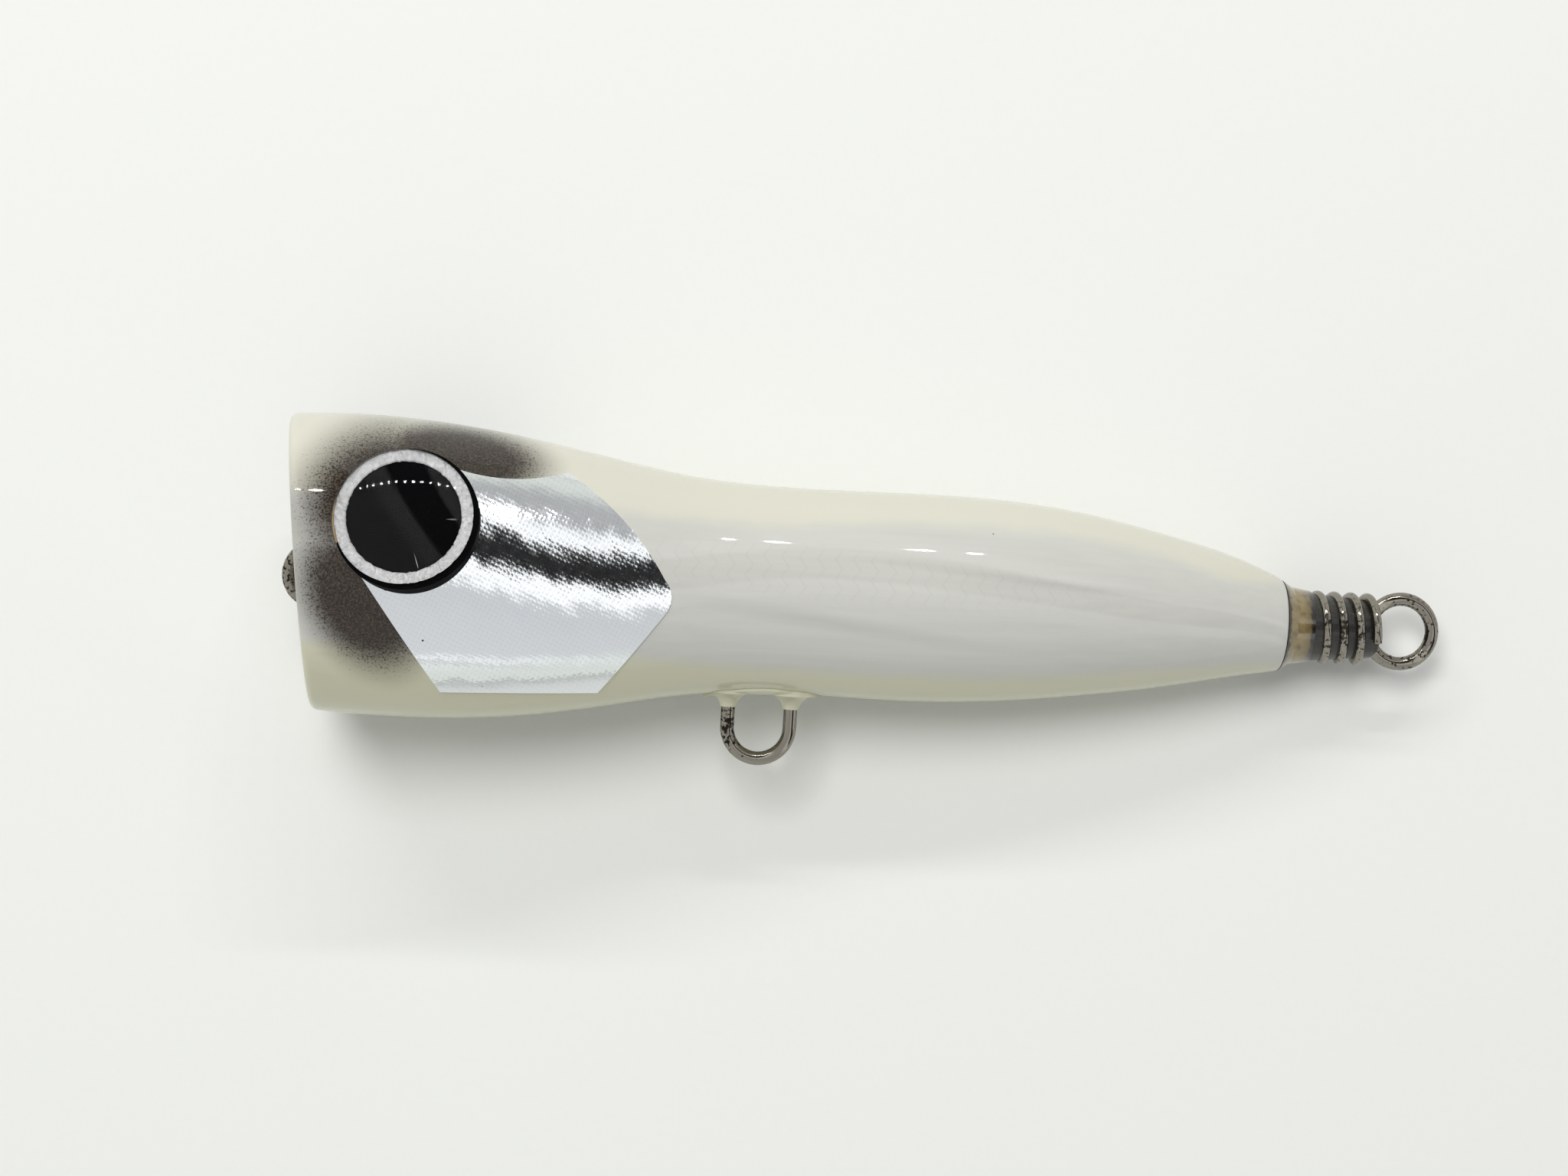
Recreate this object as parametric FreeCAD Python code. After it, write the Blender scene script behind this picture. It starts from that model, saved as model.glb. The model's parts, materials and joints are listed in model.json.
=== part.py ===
import FreeCAD, Part
import math
import os

from FreeCAD import Matrix, Placement, Rotation, Vector

# Topwater popper, lying on its right side. Millimetres.
# Design axes: X from the upper lip to the tail, Y towards the back, Z towards the left side.
# The through wire lies in the plane Z = 0. resting_place() lays the finished lure on the floor.

# ---- Body ----
body_length = 131.0        # upper lip to the end of the lacquer at the tail
back_height = 21.0         # wire axis to the highest point of the back
belly_depth = 17.8         # wire axis to the lowest point of the belly
width_ratio = 0.90         # width over height of the head; the tail is round
rounding_power = 4         # how late along the body the flattened section turns round
tail_radius = 6.1          # end of the lacquered body, where the collar takes over
coat = 0.6                 # lacquer and paint over the wood
lip_setback = 4.6          # how far the lower lip stands behind the upper one
lip_wall = 2.6             # thickness of the lip round the cup
lip_round = 1.1            # outer edge of the lip
cup_depth = 10.0           # deepest point of the mouth cup below the lip plane
cup_fullness = 1.6         # cup's ellipsoid: its half length over its depth below the lip

# Shape of the body: share of the length, of the back height and of the belly depth.
STATIONS = [
    (-0.030, 0.965, 0.950),
    (0.053, 1.000, 0.989),
    (0.137, 0.986, 1.000),
    (0.229, 0.919, 0.961),
    (0.321, 0.814, 0.854),
    (0.397, 0.733, 0.747),
    (0.473, 0.698, 0.697),
    (0.611, 0.700, 0.705),
    (0.710, 0.690, 0.674),
    (0.802, 0.629, 0.596),
    (0.893, 0.510, 0.489),
    (0.962, 0.390, 0.388),
]

# ---- Wire ----
wire_d = 1.8               # stainless through wire
leg_offset = 1.5           # each wire leg above or below the wire axis
neck_bend = 2.0            # outward bend where a leg turns into its eye
nose_eye_x = 4.5           # centre of the line-tie eye
nose_eye_inner = 2.7       # its inner radius
tail_eye_inner = 3.4       # inner radius of the tail eye
tail_eye_cover = 0.0       # how far the resin's end stands into the tail eye's opening
hanger_x = 62.7            # middle of the belly hanger
hanger_gap = 6.4           # clear width between its legs
hanger_drop = 22.0         # wire axis to the outside of its bow
inner_bend = 3.0           # bends inside the body
nose_tag_x = 30.0          # where the nose eye's short leg ends in the wood
tail_tag = 9.0             # length of the tail eye's short leg inside the wood

# ---- Tail binding, collar and resin ----
binding_d = 1.2            # binding wire
binding_turns = 3.55
binding_pitch = 2.25
binding_radius = 4.25      # middle of the wire in the first turn
binding_gap = 0.1          # between the last turn and the legs that it holds
binding_crown = 0.42       # how far a turn stands out of the resin
collar_length = 3.8        # resin collar behind the body
collar_end_radius = 4.75
collar_waist = 0.35        # share of the collar's length where its flare ends
collar_step = 0.15         # the lacquer's edge stands this far above the collar
bead_radius = 3.6          # resin round the legs in the cup
bead_height = 2.0
bead_edge = 0.2            # resin's thickness where the legs leave it
skirt_radius = 3.9         # resin skirt round each hanger leg where it meets the belly
skirt_height = 2.0
skirt_edge = 0.15          # resin's thickness where the leg leaves it
puddle_length = 15.0       # thin resin spread round the hanger
puddle_width = 9.0
puddle_thickness = 0.3

# ---- Eyes, cheek plates and side films ----
eye_x = 15.5
eye_y = 8.9
eye_radius = 8.75
eye_cant = 19.0            # degrees that the eye looks up towards the back
eye_toe = 7.0              # degrees that it looks forward
eye_seat = 2.5             # flat seat below the body's surface
eye_foil = 0.3
pupil_radius = 7.2
pupil_thickness = 0.15
lens_rim = 0.5             # lens edge above the body's surface
lens_rise = 1.5            # height of the lens's dome
plate_thickness = 0.2
film_thickness = 0.1
film_ends = (20.0, 100.0, 125.0)
film_top = (12.0, 11.0, 4.0)
film_bottom = (-10.0, -7.5, -3.5)

# ---- Ballast ----
slug_radius = 3.5
slug_length = 11.0
slug_drop = 4.3            # slug's middle below the wire axis
slug_first_x = 82.0
slug_spacing = 12.0
slug_names = ("ballast_front", "ballast_middle", "ballast_rear")

# ---- Rest ----
rest_roll = 4.0            # degrees that the belly lies lower than the back

# ---- Values that follow ----
wire_r = wire_d / 2
lip_tilt = math.atan2(lip_setback, back_height + belly_depth)
hanger_bow = (hanger_gap + wire_d) / 2
hanger_centre_y = -(hanger_drop - hanger_bow - wire_r)
collar_end = body_length + collar_length
binding_start = collar_end + binding_d / 2
binding_end = binding_start + binding_turns * binding_pitch
resin_end = binding_end + binding_d / 2
tail_eye_x = resin_end - tail_eye_cover + tail_eye_inner
FAR = 400.0                # larger than the lure, for cutting tools


def point(x, y, z=0.0):
    return Vector(x, y, z)


def arc(first, middle, last):
    return Part.Arc(first, middle, last).toShape()


def prism(edges, z_low, z_high):
    """Solid between two heights over a closed outline drawn in the plane Z = 0."""
    face = Part.Face(Part.Wire(edges))
    face.translate(point(0, 0, z_low))
    return face.extrude(point(0, 0, z_high - z_low))


def polygon_edges(corners):
    closed = corners[1:] + corners[:1]
    return [Part.LineSegment(a, b).toShape() for a, b in zip(corners, closed)]


def mirrored(shape):
    return shape.mirror(point(0, 0, 0), point(0, 0, 1))


# ---- Body surfaces ----

def section_sizes():
    """x, back and belly of each station, with the round tail last."""
    sizes = [(x * body_length, back * back_height, belly * belly_depth) for x, back, belly in STATIONS]
    return sizes + [(body_length, tail_radius, tail_radius)]


def half_width(x, back, belly):
    share = max(x / body_length, 0.0)
    return (width_ratio + (1 - width_ratio) * share ** rounding_power) * (back + belly) / 2


def hull(inset):
    """Body without its mouth, shrunk all round by inset (grown where it is negative)."""
    rings = []
    for x, back, belly in section_sizes():
        centre = point(x, (back - belly) / 2)
        high = point(x, back - inset)
        side = centre + point(0, 0, half_width(x, back, belly) - inset)
        rings.append(Part.Wire(Part.Ellipse(high, side, centre).toShape()))
    return Part.makeLoft(rings, True, False)


def lip_placement(inset):
    """Origin on the lip plane at the wire axis, with X straight into the cup."""
    turn = Rotation(point(0, 0, 1), math.degrees(lip_tilt))
    start = point(back_height * math.tan(lip_tilt), 0)
    return Placement(start + turn.multVec(point(inset, 0)), turn)


def cup(inset):
    """Oval bowl of the mouth, grown by inset; its rim follows the lip."""
    middle = (back_height - belly_depth) / 2
    high = (back_height + belly_depth) / 2 - lip_wall + inset
    wide = width_ratio * (back_height + belly_depth) / 2 - lip_wall + inset
    depth = cup_depth + inset
    ball_x = cup_fullness * depth
    spread = 1 / math.sqrt(1 - ((ball_x - depth) / ball_x) ** 2)
    scale = Matrix()
    scale.scale(ball_x, high * spread, wide * spread)
    bowl = Part.makeSphere(1.0).transformGeometry(scale)
    bowl.translate(point(depth - ball_x, middle))
    return bowl.transformed(lip_placement(0).toMatrix())


def body_solid(inset):
    """Body with its slanted lip plane and cup, shrunk by inset."""
    ahead = Part.makeBox(FAR, FAR, FAR, point(-FAR, -FAR / 2, -FAR / 2))
    ahead = ahead.transformed(lip_placement(inset).toMatrix())
    behind = Part.makeBox(FAR, FAR, FAR, point(body_length - inset, -FAR / 2, -FAR / 2))
    solid = hull(inset).cut(ahead).cut(behind)
    if inset == 0:
        rim = [edge for edge in solid.Edges if edge.BoundBox.XMax < lip_setback + lip_round
               and edge.BoundBox.ZLength > lip_wall]
        solid = solid.makeFillet(lip_round, rim)
    return solid.cut(cup(inset)).Solids[0]


# ---- Wire ----

def eye_edges(centre_x, inner_radius, side):
    """Eye of the wire, from its upper leg round to its lower leg; side is -1 at the nose."""
    ring = inner_radius + wire_r
    rise = leg_offset + neck_bend
    run = math.sqrt((ring + neck_bend) ** 2 - rise ** 2)
    neck_x = centre_x - side * run
    touch_x = centre_x - side * run * ring / (ring + neck_bend)
    touch_y = rise * ring / (ring + neck_bend)
    half_turn = math.atan2(run, rise) / 2
    bulge_x = neck_x + side * neck_bend * math.sin(half_turn)
    bulge_y = rise - neck_bend * math.cos(half_turn)
    upper = arc(point(neck_x, leg_offset), point(bulge_x, bulge_y), point(touch_x, touch_y))
    round_edge = arc(point(touch_x, touch_y), point(centre_x + side * ring, 0), point(touch_x, -touch_y))
    lower = arc(point(touch_x, -touch_y), point(bulge_x, -bulge_y), point(neck_x, -leg_offset))
    return neck_x, [upper, round_edge, lower]


def leg_height(x):
    """Height of the tail eye's upper leg over the wire axis at x: in its neck bend, then in the eye."""
    ring = tail_eye_inner + wire_r
    rise = leg_offset + neck_bend
    run = math.sqrt((ring + neck_bend) ** 2 - rise ** 2)
    before = tail_eye_x - x
    if before > run:
        return leg_offset
    if before > run * ring / (ring + neck_bend):
        return rise - math.sqrt(neck_bend ** 2 - (run - before) ** 2)
    return math.sqrt(ring ** 2 - before ** 2)


def binding_closing():
    """How much the turns close in, per millimetre along the lure."""
    last_radius = leg_height(binding_end) + wire_r + binding_gap + binding_d / 2
    return (binding_radius - last_radius) / (binding_end - binding_start)


def hanger_edges():
    """Upper leg's wire turned down through the belly, round the bow and back up."""
    left = hanger_x - hanger_bow
    right = hanger_x + hanger_bow
    shoulder = leg_offset - inner_bend
    slack = inner_bend * (1 - math.sqrt(0.5))
    return [
        arc(point(left - inner_bend, leg_offset), point(left - slack, leg_offset - slack),
            point(left, shoulder)),
        Part.LineSegment(point(left, shoulder), point(left, hanger_centre_y)).toShape(),
        arc(point(left, hanger_centre_y), point(hanger_x, hanger_centre_y - hanger_bow),
            point(right, hanger_centre_y)),
        Part.LineSegment(point(right, hanger_centre_y), point(right, shoulder)).toShape(),
        arc(point(right, shoulder), point(right + slack, leg_offset - slack),
            point(right + inner_bend, leg_offset)),
    ]


def make_through_wire():
    nose_neck, nose = eye_edges(nose_eye_x, nose_eye_inner, -1)
    tail_neck, tail = eye_edges(tail_eye_x, tail_eye_inner, 1)
    hanger = hanger_edges()
    front = Part.LineSegment(point(nose_neck, leg_offset), hanger[0].Vertexes[0].Point).toShape()
    rear = Part.LineSegment(hanger[-1].Vertexes[1].Point, point(tail_neck, leg_offset)).toShape()
    nose_tag = Part.LineSegment(point(nose_neck, -leg_offset), point(nose_tag_x, -leg_offset)).toShape()
    tag_end = point(body_length - tail_tag, -leg_offset)
    tail_tag_edge = Part.LineSegment(point(tail_neck, -leg_offset), tag_end).toShape()
    path = Part.Wire(Part.sortEdges([nose_tag] + nose + [front] + hanger + [rear] + tail + [tail_tag_edge])[0])
    start = path.OrderedVertexes[0].Point
    section = Part.Wire(Part.makeCircle(wire_r, start, point(1, 0, 0)))
    return path.makePipeShell([section], True, False)


def make_tail_binding():
    """Wire wound round both legs of the tail eye, closing in towards the eye."""
    taper = math.degrees(math.atan(binding_closing()))
    helix = Part.makeHelix(binding_pitch, binding_end - binding_start, binding_radius, -taper)
    section = Part.Wire(Part.makeCircle(binding_d / 2, point(binding_radius, 0), point(0, 1, 0)))
    coil = Part.Wire(helix).makePipeShell([section], True, True)
    coil.rotate(point(0, 0, 0), point(0, 1, 0), 90)
    coil.translate(point(binding_start, 0))
    return coil


# ---- Resin ----

def turned(profile):
    """Solid of revolution about the wire axis from (x, radius) points."""
    face = Part.Face(Part.Wire(polygon_edges([point(x, radius) for x, radius in profile])))
    return face.revolve(point(0, 0, 0), point(1, 0, 0), 360)


def make_collar():
    """Resin collar: a plug inside the lacquer's end, then a flare that thins towards the binding."""
    seat = body_length - coat
    bore = tail_radius - coat
    flare = (tail_radius - collar_step - collar_end_radius) * collar_waist
    return turned([(seat, 0), (seat, bore), (body_length, bore), (body_length, tail_radius - collar_step),
                   (body_length + collar_waist * collar_length, collar_end_radius + flare),
                   (collar_end, collar_end_radius), (collar_end, 0)])


def resin_radius(x):
    """Resin between the turns: their middle radius, less what their crowns stand out."""
    closing = (x - binding_start) * binding_closing()
    return binding_radius - closing + binding_d / 2 - binding_crown


def make_tail_resin():
    return turned([(collar_end, 0), (collar_end, resin_radius(collar_end)),
                   (binding_end, resin_radius(binding_end)),
                   (resin_end, resin_radius(binding_end) - binding_d / 2), (resin_end, 0)])


def make_nose_bead():
    """Resin cone that closes the wire's hole in the floor of the cup."""
    floor_x = lip_placement(0).multVec(point(cup_depth, 0)).x
    return turned([(floor_x - bead_height, 0), (floor_x - bead_height, leg_offset + wire_r + bead_edge),
                   (floor_x, bead_radius), (floor_x + bead_height, bead_radius),
                   (floor_x + bead_height, 0)])


def skirt(leg_x, surface):
    """Flared resin round one hanger leg, from the belly's surface down along the leg."""
    low = surface - skirt_height
    tip = wire_r + skirt_edge
    bend = point(tip + (skirt_radius - tip) * (1 - math.sqrt(0.5)), surface - skirt_height * (1 - math.sqrt(0.5)))
    profile = [
        Part.LineSegment(point(0, low), point(tip, low)).toShape(),
        arc(point(tip, low), bend, point(skirt_radius, surface)),
        Part.LineSegment(point(skirt_radius, surface), point(skirt_radius, 0)).toShape(),
        Part.LineSegment(point(skirt_radius, 0), point(0, 0)).toShape(),
        Part.LineSegment(point(0, 0), point(0, low)).toShape(),
    ]
    flare = Part.Face(Part.Wire(profile)).revolve(point(0, 0), point(0, 1), 360)
    flare.translate(point(leg_x, 0))
    return flare


def belly_y(x):
    """Belly's depth below the wire axis between two stations."""
    sizes = section_sizes()
    for (x0, _, low0), (x1, _, low1) in zip(sizes, sizes[1:]):
        if x0 <= x <= x1:
            return -(low0 + (low1 - low0) * (x - x0) / (x1 - x0))
    raise ValueError("outside the body")


def make_hanger_resin(outer):
    """Resin skirts round the hanger's legs and the thin puddle that joins them."""
    surface = belly_y(hanger_x)
    puddle_edge = Part.Ellipse(point(0, 0), puddle_length / 2, puddle_width / 2).toShape()
    puddle = Part.Face(Part.Wire(puddle_edge)).extrude(point(0, 0, belly_depth))
    puddle.rotate(point(0, 0, 0), point(1, 0, 0), 90)
    puddle.translate(point(hanger_x, 0))
    resin = hull(-puddle_thickness).common(puddle)
    for leg_x in (hanger_x - hanger_bow, hanger_x + hanger_bow):
        resin = resin.fuse(skirt(leg_x, surface))
    return resin.cut(outer)


# ---- Eyes, plates and films ----

def surface_z(x, y, outer):
    """Height of the left side's surface over a point of the plane Z = 0."""
    ray = Part.LineSegment(point(x, y), point(x, y, FAR)).toShape().common(outer)
    return ray.BoundBox.ZMax


def eye_placement(outer):
    """Origin on the eye's flat seat, with Z straight out of the lens."""
    turn = Rotation(point(0, 1, 0), -eye_toe).multiply(Rotation(point(1, 0, 0), -eye_cant))
    surface = point(eye_x, eye_y, surface_z(eye_x, eye_y, outer))
    return Placement(surface + turn.multVec(point(0, 0, -eye_seat)), turn)


def make_eye(outer):
    """Socket, foil, pupil and lens of the left eye."""
    place = eye_placement(outer).toMatrix()
    lens_height = eye_seat + lens_rim - eye_foil
    foil = Part.makeCylinder(eye_radius, eye_foil)
    pupil = Part.makeCylinder(pupil_radius, pupil_thickness, point(0, 0, eye_foil))
    ball_radius = (eye_radius ** 2 + lens_rise ** 2) / (2 * lens_rise)
    crown = Part.makeSphere(ball_radius, point(0, 0, eye_foil + lens_height + lens_rise - ball_radius))
    blank = Part.makeCylinder(eye_radius, lens_height + lens_rise, point(0, 0, eye_foil))
    lens = blank.common(crown).cut(pupil)
    socket = Part.makeCylinder(eye_radius, back_height)
    return [shape.transformed(place) for shape in (socket, foil, pupil, lens)]


def plate_outline():
    """Cheek plate seen square from the side: a kite with a rounded rear point."""
    front, chin, heel = point(10.2, 1.9), point(21.1, -13.3), point(41.1, -12.7)
    rear_low, rear_high = point(48.9, -1.8), point(48.6, 2.6)
    crest, brow = point(35.8, 15.3), point(22.1, 15.0)
    return [
        Part.LineSegment(front, chin).toShape(),
        Part.LineSegment(chin, heel).toShape(),
        Part.LineSegment(heel, rear_low).toShape(),
        arc(rear_low, point(49.6, 0.3), rear_high),
        arc(rear_high, point(42.9, 9.9), crest),
        arc(crest, point(29.0, 14.2), brow),
        Part.LineSegment(brow, front).toShape(),
    ]


def make_plate(socket):
    """Thin metal plate that follows the head's side, cut away under the eye."""
    skin = hull(-plate_thickness).common(prism(plate_outline(), wire_r, FAR))
    return skin.cut(hull(0)).cut(socket)


def film_outline():
    """Side film seen square from the side, from behind the eye to the tail."""
    top = [point(x, y) for x, y in zip(film_ends, film_top)]
    bottom = [point(x, y) for x, y in zip(film_ends, film_bottom)]
    return polygon_edges(top + bottom[::-1])


def make_film(socket):
    """Embossed film pressed on the wood under the lacquer."""
    skin = hull(coat - film_thickness).common(prism(film_outline(), wire_r, FAR))
    return skin.cut(hull(coat)).cut(socket)


# ---- Ballast ----

def make_slug(index):
    middle = point(slug_first_x + index * slug_spacing, -slug_drop, -slug_length / 2)
    return Part.makeCylinder(slug_radius, slug_length, middle)


# ---- Assembly ----

def rest_pitch(outer, lens):
    """Degrees that the nose rises when the eye and the rear of the side touch the floor."""
    eye_height = lens.BoundBox.ZMax
    slopes = []
    for x, back, belly in section_sizes():
        if x > body_length / 2:
            slopes.append((eye_height - half_width(x, back, belly)) / (x - eye_x))
    return math.degrees(math.atan(min(slopes)))


def build_nodes():
    outer = body_solid(0)
    inner = body_solid(coat)
    wire = make_through_wire()
    binding = make_tail_binding()
    slugs = [make_slug(index) for index in range(len(slug_names))]
    socket, foil, pupil, lens = make_eye(outer)
    sockets = socket.fuse(mirrored(socket))
    film = make_film(socket)
    collar = make_collar()

    wood = inner.cut(sockets).cut(wire)
    for slug in slugs:
        wood = wood.cut(slug)
    left_half = Part.makeBox(FAR, FAR, FAR, point(-FAR / 2, -FAR / 2, 0))
    lacquer = outer.cut(inner).cut(sockets).cut(wire).cut(film).cut(mirrored(film)).cut(collar)

    nodes = {
        "core_left": wood.common(left_half),
        "core_right": wood.cut(left_half),
        "body_lacquer": lacquer,
        "through_wire": wire,
        "tail_binding": binding,
        "tail_collar": collar.cut(wire),
        "tail_resin": make_tail_resin().cut(wire).cut(binding),
        "nose_resin": make_nose_bead().cut(outer).cut(wire),
        "hanger_resin": make_hanger_resin(outer).cut(wire),
    }
    for name, slug in zip(slug_names, slugs):
        nodes[name] = slug
    paired = {"eye_foil": foil, "eye_pupil": pupil, "eye_lens": lens,
              "cheek_plate": make_plate(socket), "side_film": film}
    for name, shape in paired.items():
        nodes[name + "_left"] = shape
        nodes[name + "_right"] = mirrored(shape)
    return nodes, rest_pitch(outer, lens)


def resting_place(nodes, pitch):
    """Turn onto the right side's resting points, then centre over the origin on the floor."""
    turn = Rotation(point(0, 1, 0), pitch).multiply(Rotation(point(1, 0, 0), rest_roll))
    turned_lure = Part.makeCompound(list(nodes.values())).transformed(Placement(point(0, 0), turn).toMatrix())
    box = turned_lure.optimalBoundingBox()
    base = point((box.XMin + box.XMax) / 2, (box.YMin + box.YMax) / 2, box.ZMin)
    return Placement(base * -1, turn)


def export(nodes, place):
    os.makedirs("parts", exist_ok=True)
    for name, shape in nodes.items():
        solids = [solid.transformed(place.toMatrix()) for solid in shape.Solids]
        node = solids[0] if len(solids) == 1 else Part.makeCompound(solids)
        print(f"{name:20s} solids {len(solids)}  valid {node.isValid()}  {node.Volume:9.2f} mm3")
        node.exportStep(f"parts/{name}.step")


all_nodes, pitch_angle = build_nodes()
rest = resting_place(all_nodes, pitch_angle)
export(all_nodes, rest)
for label, spot in (("nose eye", point(nose_eye_x, 0)), ("tail eye", point(tail_eye_x, 0)),
                    ("belly eye", point(hanger_x, hanger_centre_y)), ("wire axis", point(0, 0))):
    print(f"{label:10s} {rest.multVec(spot)}")
print("pitch", pitch_angle)
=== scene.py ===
"""Looks of a topwater popper that lies on its right side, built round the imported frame."""

import json
import logging
import math
from dataclasses import dataclass
from enum import Enum
from typing import Any, Callable, Optional, Sequence

import bpy
import numpy
from mathutils import Matrix, Vector

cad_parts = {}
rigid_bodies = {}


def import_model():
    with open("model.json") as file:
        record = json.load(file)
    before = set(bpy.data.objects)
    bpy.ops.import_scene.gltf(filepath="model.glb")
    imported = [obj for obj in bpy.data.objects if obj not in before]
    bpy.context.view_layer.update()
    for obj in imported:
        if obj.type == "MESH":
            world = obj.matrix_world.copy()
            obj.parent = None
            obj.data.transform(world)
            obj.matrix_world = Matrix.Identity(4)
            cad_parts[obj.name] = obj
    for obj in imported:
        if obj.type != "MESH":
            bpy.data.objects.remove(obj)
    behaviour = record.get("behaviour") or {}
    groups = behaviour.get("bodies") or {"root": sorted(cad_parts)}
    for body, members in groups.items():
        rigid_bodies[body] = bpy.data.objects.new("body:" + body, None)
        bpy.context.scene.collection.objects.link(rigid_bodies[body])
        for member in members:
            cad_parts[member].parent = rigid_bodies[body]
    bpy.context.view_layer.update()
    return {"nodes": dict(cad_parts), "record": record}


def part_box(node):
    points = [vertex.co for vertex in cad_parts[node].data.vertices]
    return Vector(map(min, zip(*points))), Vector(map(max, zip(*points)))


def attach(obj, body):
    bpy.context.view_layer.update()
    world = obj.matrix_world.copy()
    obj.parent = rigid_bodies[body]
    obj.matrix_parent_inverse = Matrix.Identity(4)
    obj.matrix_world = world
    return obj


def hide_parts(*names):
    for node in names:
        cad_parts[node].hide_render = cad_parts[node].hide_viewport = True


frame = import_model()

log = logging.getLogger("popper")

MM = 0.001
NODE_MIX, NODE_MATH, NODE_RANGE = "ShaderNodeMix", "ShaderNodeMath", "ShaderNodeMapRange"
NODE_NOISE, NODE_CELLS, NODE_RAMP = "ShaderNodeTexNoise", "ShaderNodeTexVoronoi", "ShaderNodeValToRGB"
NODE_MAPPING, NODE_BUMP, NODE_SPLIT = "ShaderNodeMapping", "ShaderNodeBump", "ShaderNodeSeparateXYZ"

Socket = bpy.types.NodeSocket
Piece = bpy.types.Object
Tree = bpy.types.NodeTree

COLOUR = {"data_type": "RGBA"}
SMOOTH = {"interpolation_type": "SMOOTHSTEP"}


class Side(Enum):
    """Side of the lure, and the sign of its Z."""

    LEFT = 1
    RIGHT = -1


# ---- Small tools ----

def linear(code: str) -> tuple[float, float, float, float]:
    """Turns an sRGB hex code into a linear colour.

    Args:
        code: six hex digits, such as "D6D6D0".

    Returns:
        Red, green, blue and alpha.
    """
    parts = [int(code[i:i + 2], 16) / 255 for i in (0, 2, 4)]
    red, green, blue = (p / 12.92 if p <= 0.04045 else ((p + 0.055) / 1.055) ** 2.4 for p in parts)
    return red, green, blue, 1.0


def add_node(tree: Tree, kind: str, settings: Optional[dict] = None,
             links: Optional[dict] = None, out: int = 0) -> Socket:
    """Adds a node with its settings and links.

    Args:
        tree: node tree that gets the node.
        kind: the node's type name.
        settings: attributes, "stops" of a ramp, or input values by name or number.
        links: sockets by the name or number of the input that they feed.
        out: number of the output to return.

    Returns:
        The node's output, or its first input where it has no output.
    """
    node = tree.nodes.new(kind)
    for name, value in (settings or {}).items():
        if name == "stops":
            ramp = node.color_ramp
            while len(ramp.elements) < len(value):
                ramp.elements.new(0.5)
            for element, (place, colour) in zip(ramp.elements, value):
                element.position = place
                element.color = colour
        elif isinstance(name, str) and hasattr(node, name):
            setattr(node, name, value)
        else:
            node.inputs[name].default_value = value
    for name, socket in (links or {}).items():
        tree.links.new(socket, node.inputs[name])
    return node.outputs[out] if node.outputs else node.inputs[0]


def grey(value: float) -> tuple[float, float, float, float]:
    """A linear grey."""
    return value, value, value, 1.0


def select_only(piece: Piece) -> None:
    """Makes one object the active and only selected one."""
    bpy.ops.object.select_all(action="DESELECT")
    piece.select_set(True)
    bpy.context.view_layer.objects.active = piece


def turn_selected(angle: float, axis: str, centre: Sequence[float]) -> None:
    """Turns the selection counter-clockwise about an axis; the operator itself turns the other way."""
    bpy.ops.transform.rotate(value=-angle, orient_axis=axis, center_override=centre)


def apply_modifier(piece: Piece, kind: str, **settings: Any) -> None:
    """Adds one modifier with its settings and applies it."""
    select_only(piece)
    modifier = piece.modifiers.new(kind.lower(), kind)
    for name, value in settings.items():
        setattr(modifier, name, value)
    bpy.ops.object.modifier_apply(modifier=modifier.name)


def cut(piece: Piece, tool: Piece, operation: str = "DIFFERENCE") -> None:
    """Applies a Boolean with another closed mesh, and deletes that mesh."""
    apply_modifier(piece, "BOOLEAN", operation=operation, object=tool, solver="EXACT")
    bpy.data.objects.remove(tool)


def copy_of(piece: Piece, name: str) -> Piece:
    """A copy with its own mesh."""
    twin = piece.copy()
    twin.data = piece.data.copy()
    twin.name = twin.data.name = name
    bpy.context.scene.collection.objects.link(twin)
    return twin


def bake_place(piece: Piece, place: Matrix) -> None:
    """Moves an object by a matrix and puts that place in its mesh."""
    select_only(piece)
    piece.matrix_world = place
    bpy.ops.object.transform_apply(location=True, rotation=True, scale=True)


def close_up(piece: Piece, smooth_angle: float = 35.0) -> None:
    """Merges doubles, points the faces outwards and smooths all but sharp edges."""
    select_only(piece)
    bpy.ops.object.mode_set(mode="EDIT")
    bpy.ops.mesh.select_all(action="SELECT")
    bpy.ops.mesh.remove_doubles(threshold=1e-4)
    bpy.ops.mesh.normals_make_consistent(inside=False)
    bpy.ops.object.mode_set(mode="OBJECT")
    bpy.ops.object.shade_smooth_by_angle(angle=math.radians(smooth_angle))


def spline(places: Sequence[float], values: Sequence[float]) -> Callable[[float], float]:
    """Natural cubic through the given values.

    Args:
        places: rising positions.
        values: one value at each position.

    Returns:
        A function of the position.
    """
    count = len(places)
    step = numpy.diff(places)
    slope = numpy.diff(values) / step
    matrix, right = numpy.eye(count), numpy.zeros(count)
    for i in range(1, count - 1):
        matrix[i, i - 1:i + 2] = step[i - 1], 2 * (step[i - 1] + step[i]), step[i]
        right[i] = 6 * (slope[i] - slope[i - 1])
    bend = numpy.linalg.solve(matrix, right)

    def at(x: float) -> float:
        """The curve's value at x."""
        i = int(min(max(numpy.searchsorted(places, x) - 1, 0), count - 2))
        width, low, high = step[i], places[i + 1] - x, x - places[i]
        return float((bend[i] * low ** 3 + bend[i + 1] * high ** 3) / (6 * width)
                     + (values[i] / width - bend[i] * width / 6) * low
                     + (values[i + 1] / width - bend[i + 1] * width / 6) * high)

    return at


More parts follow.
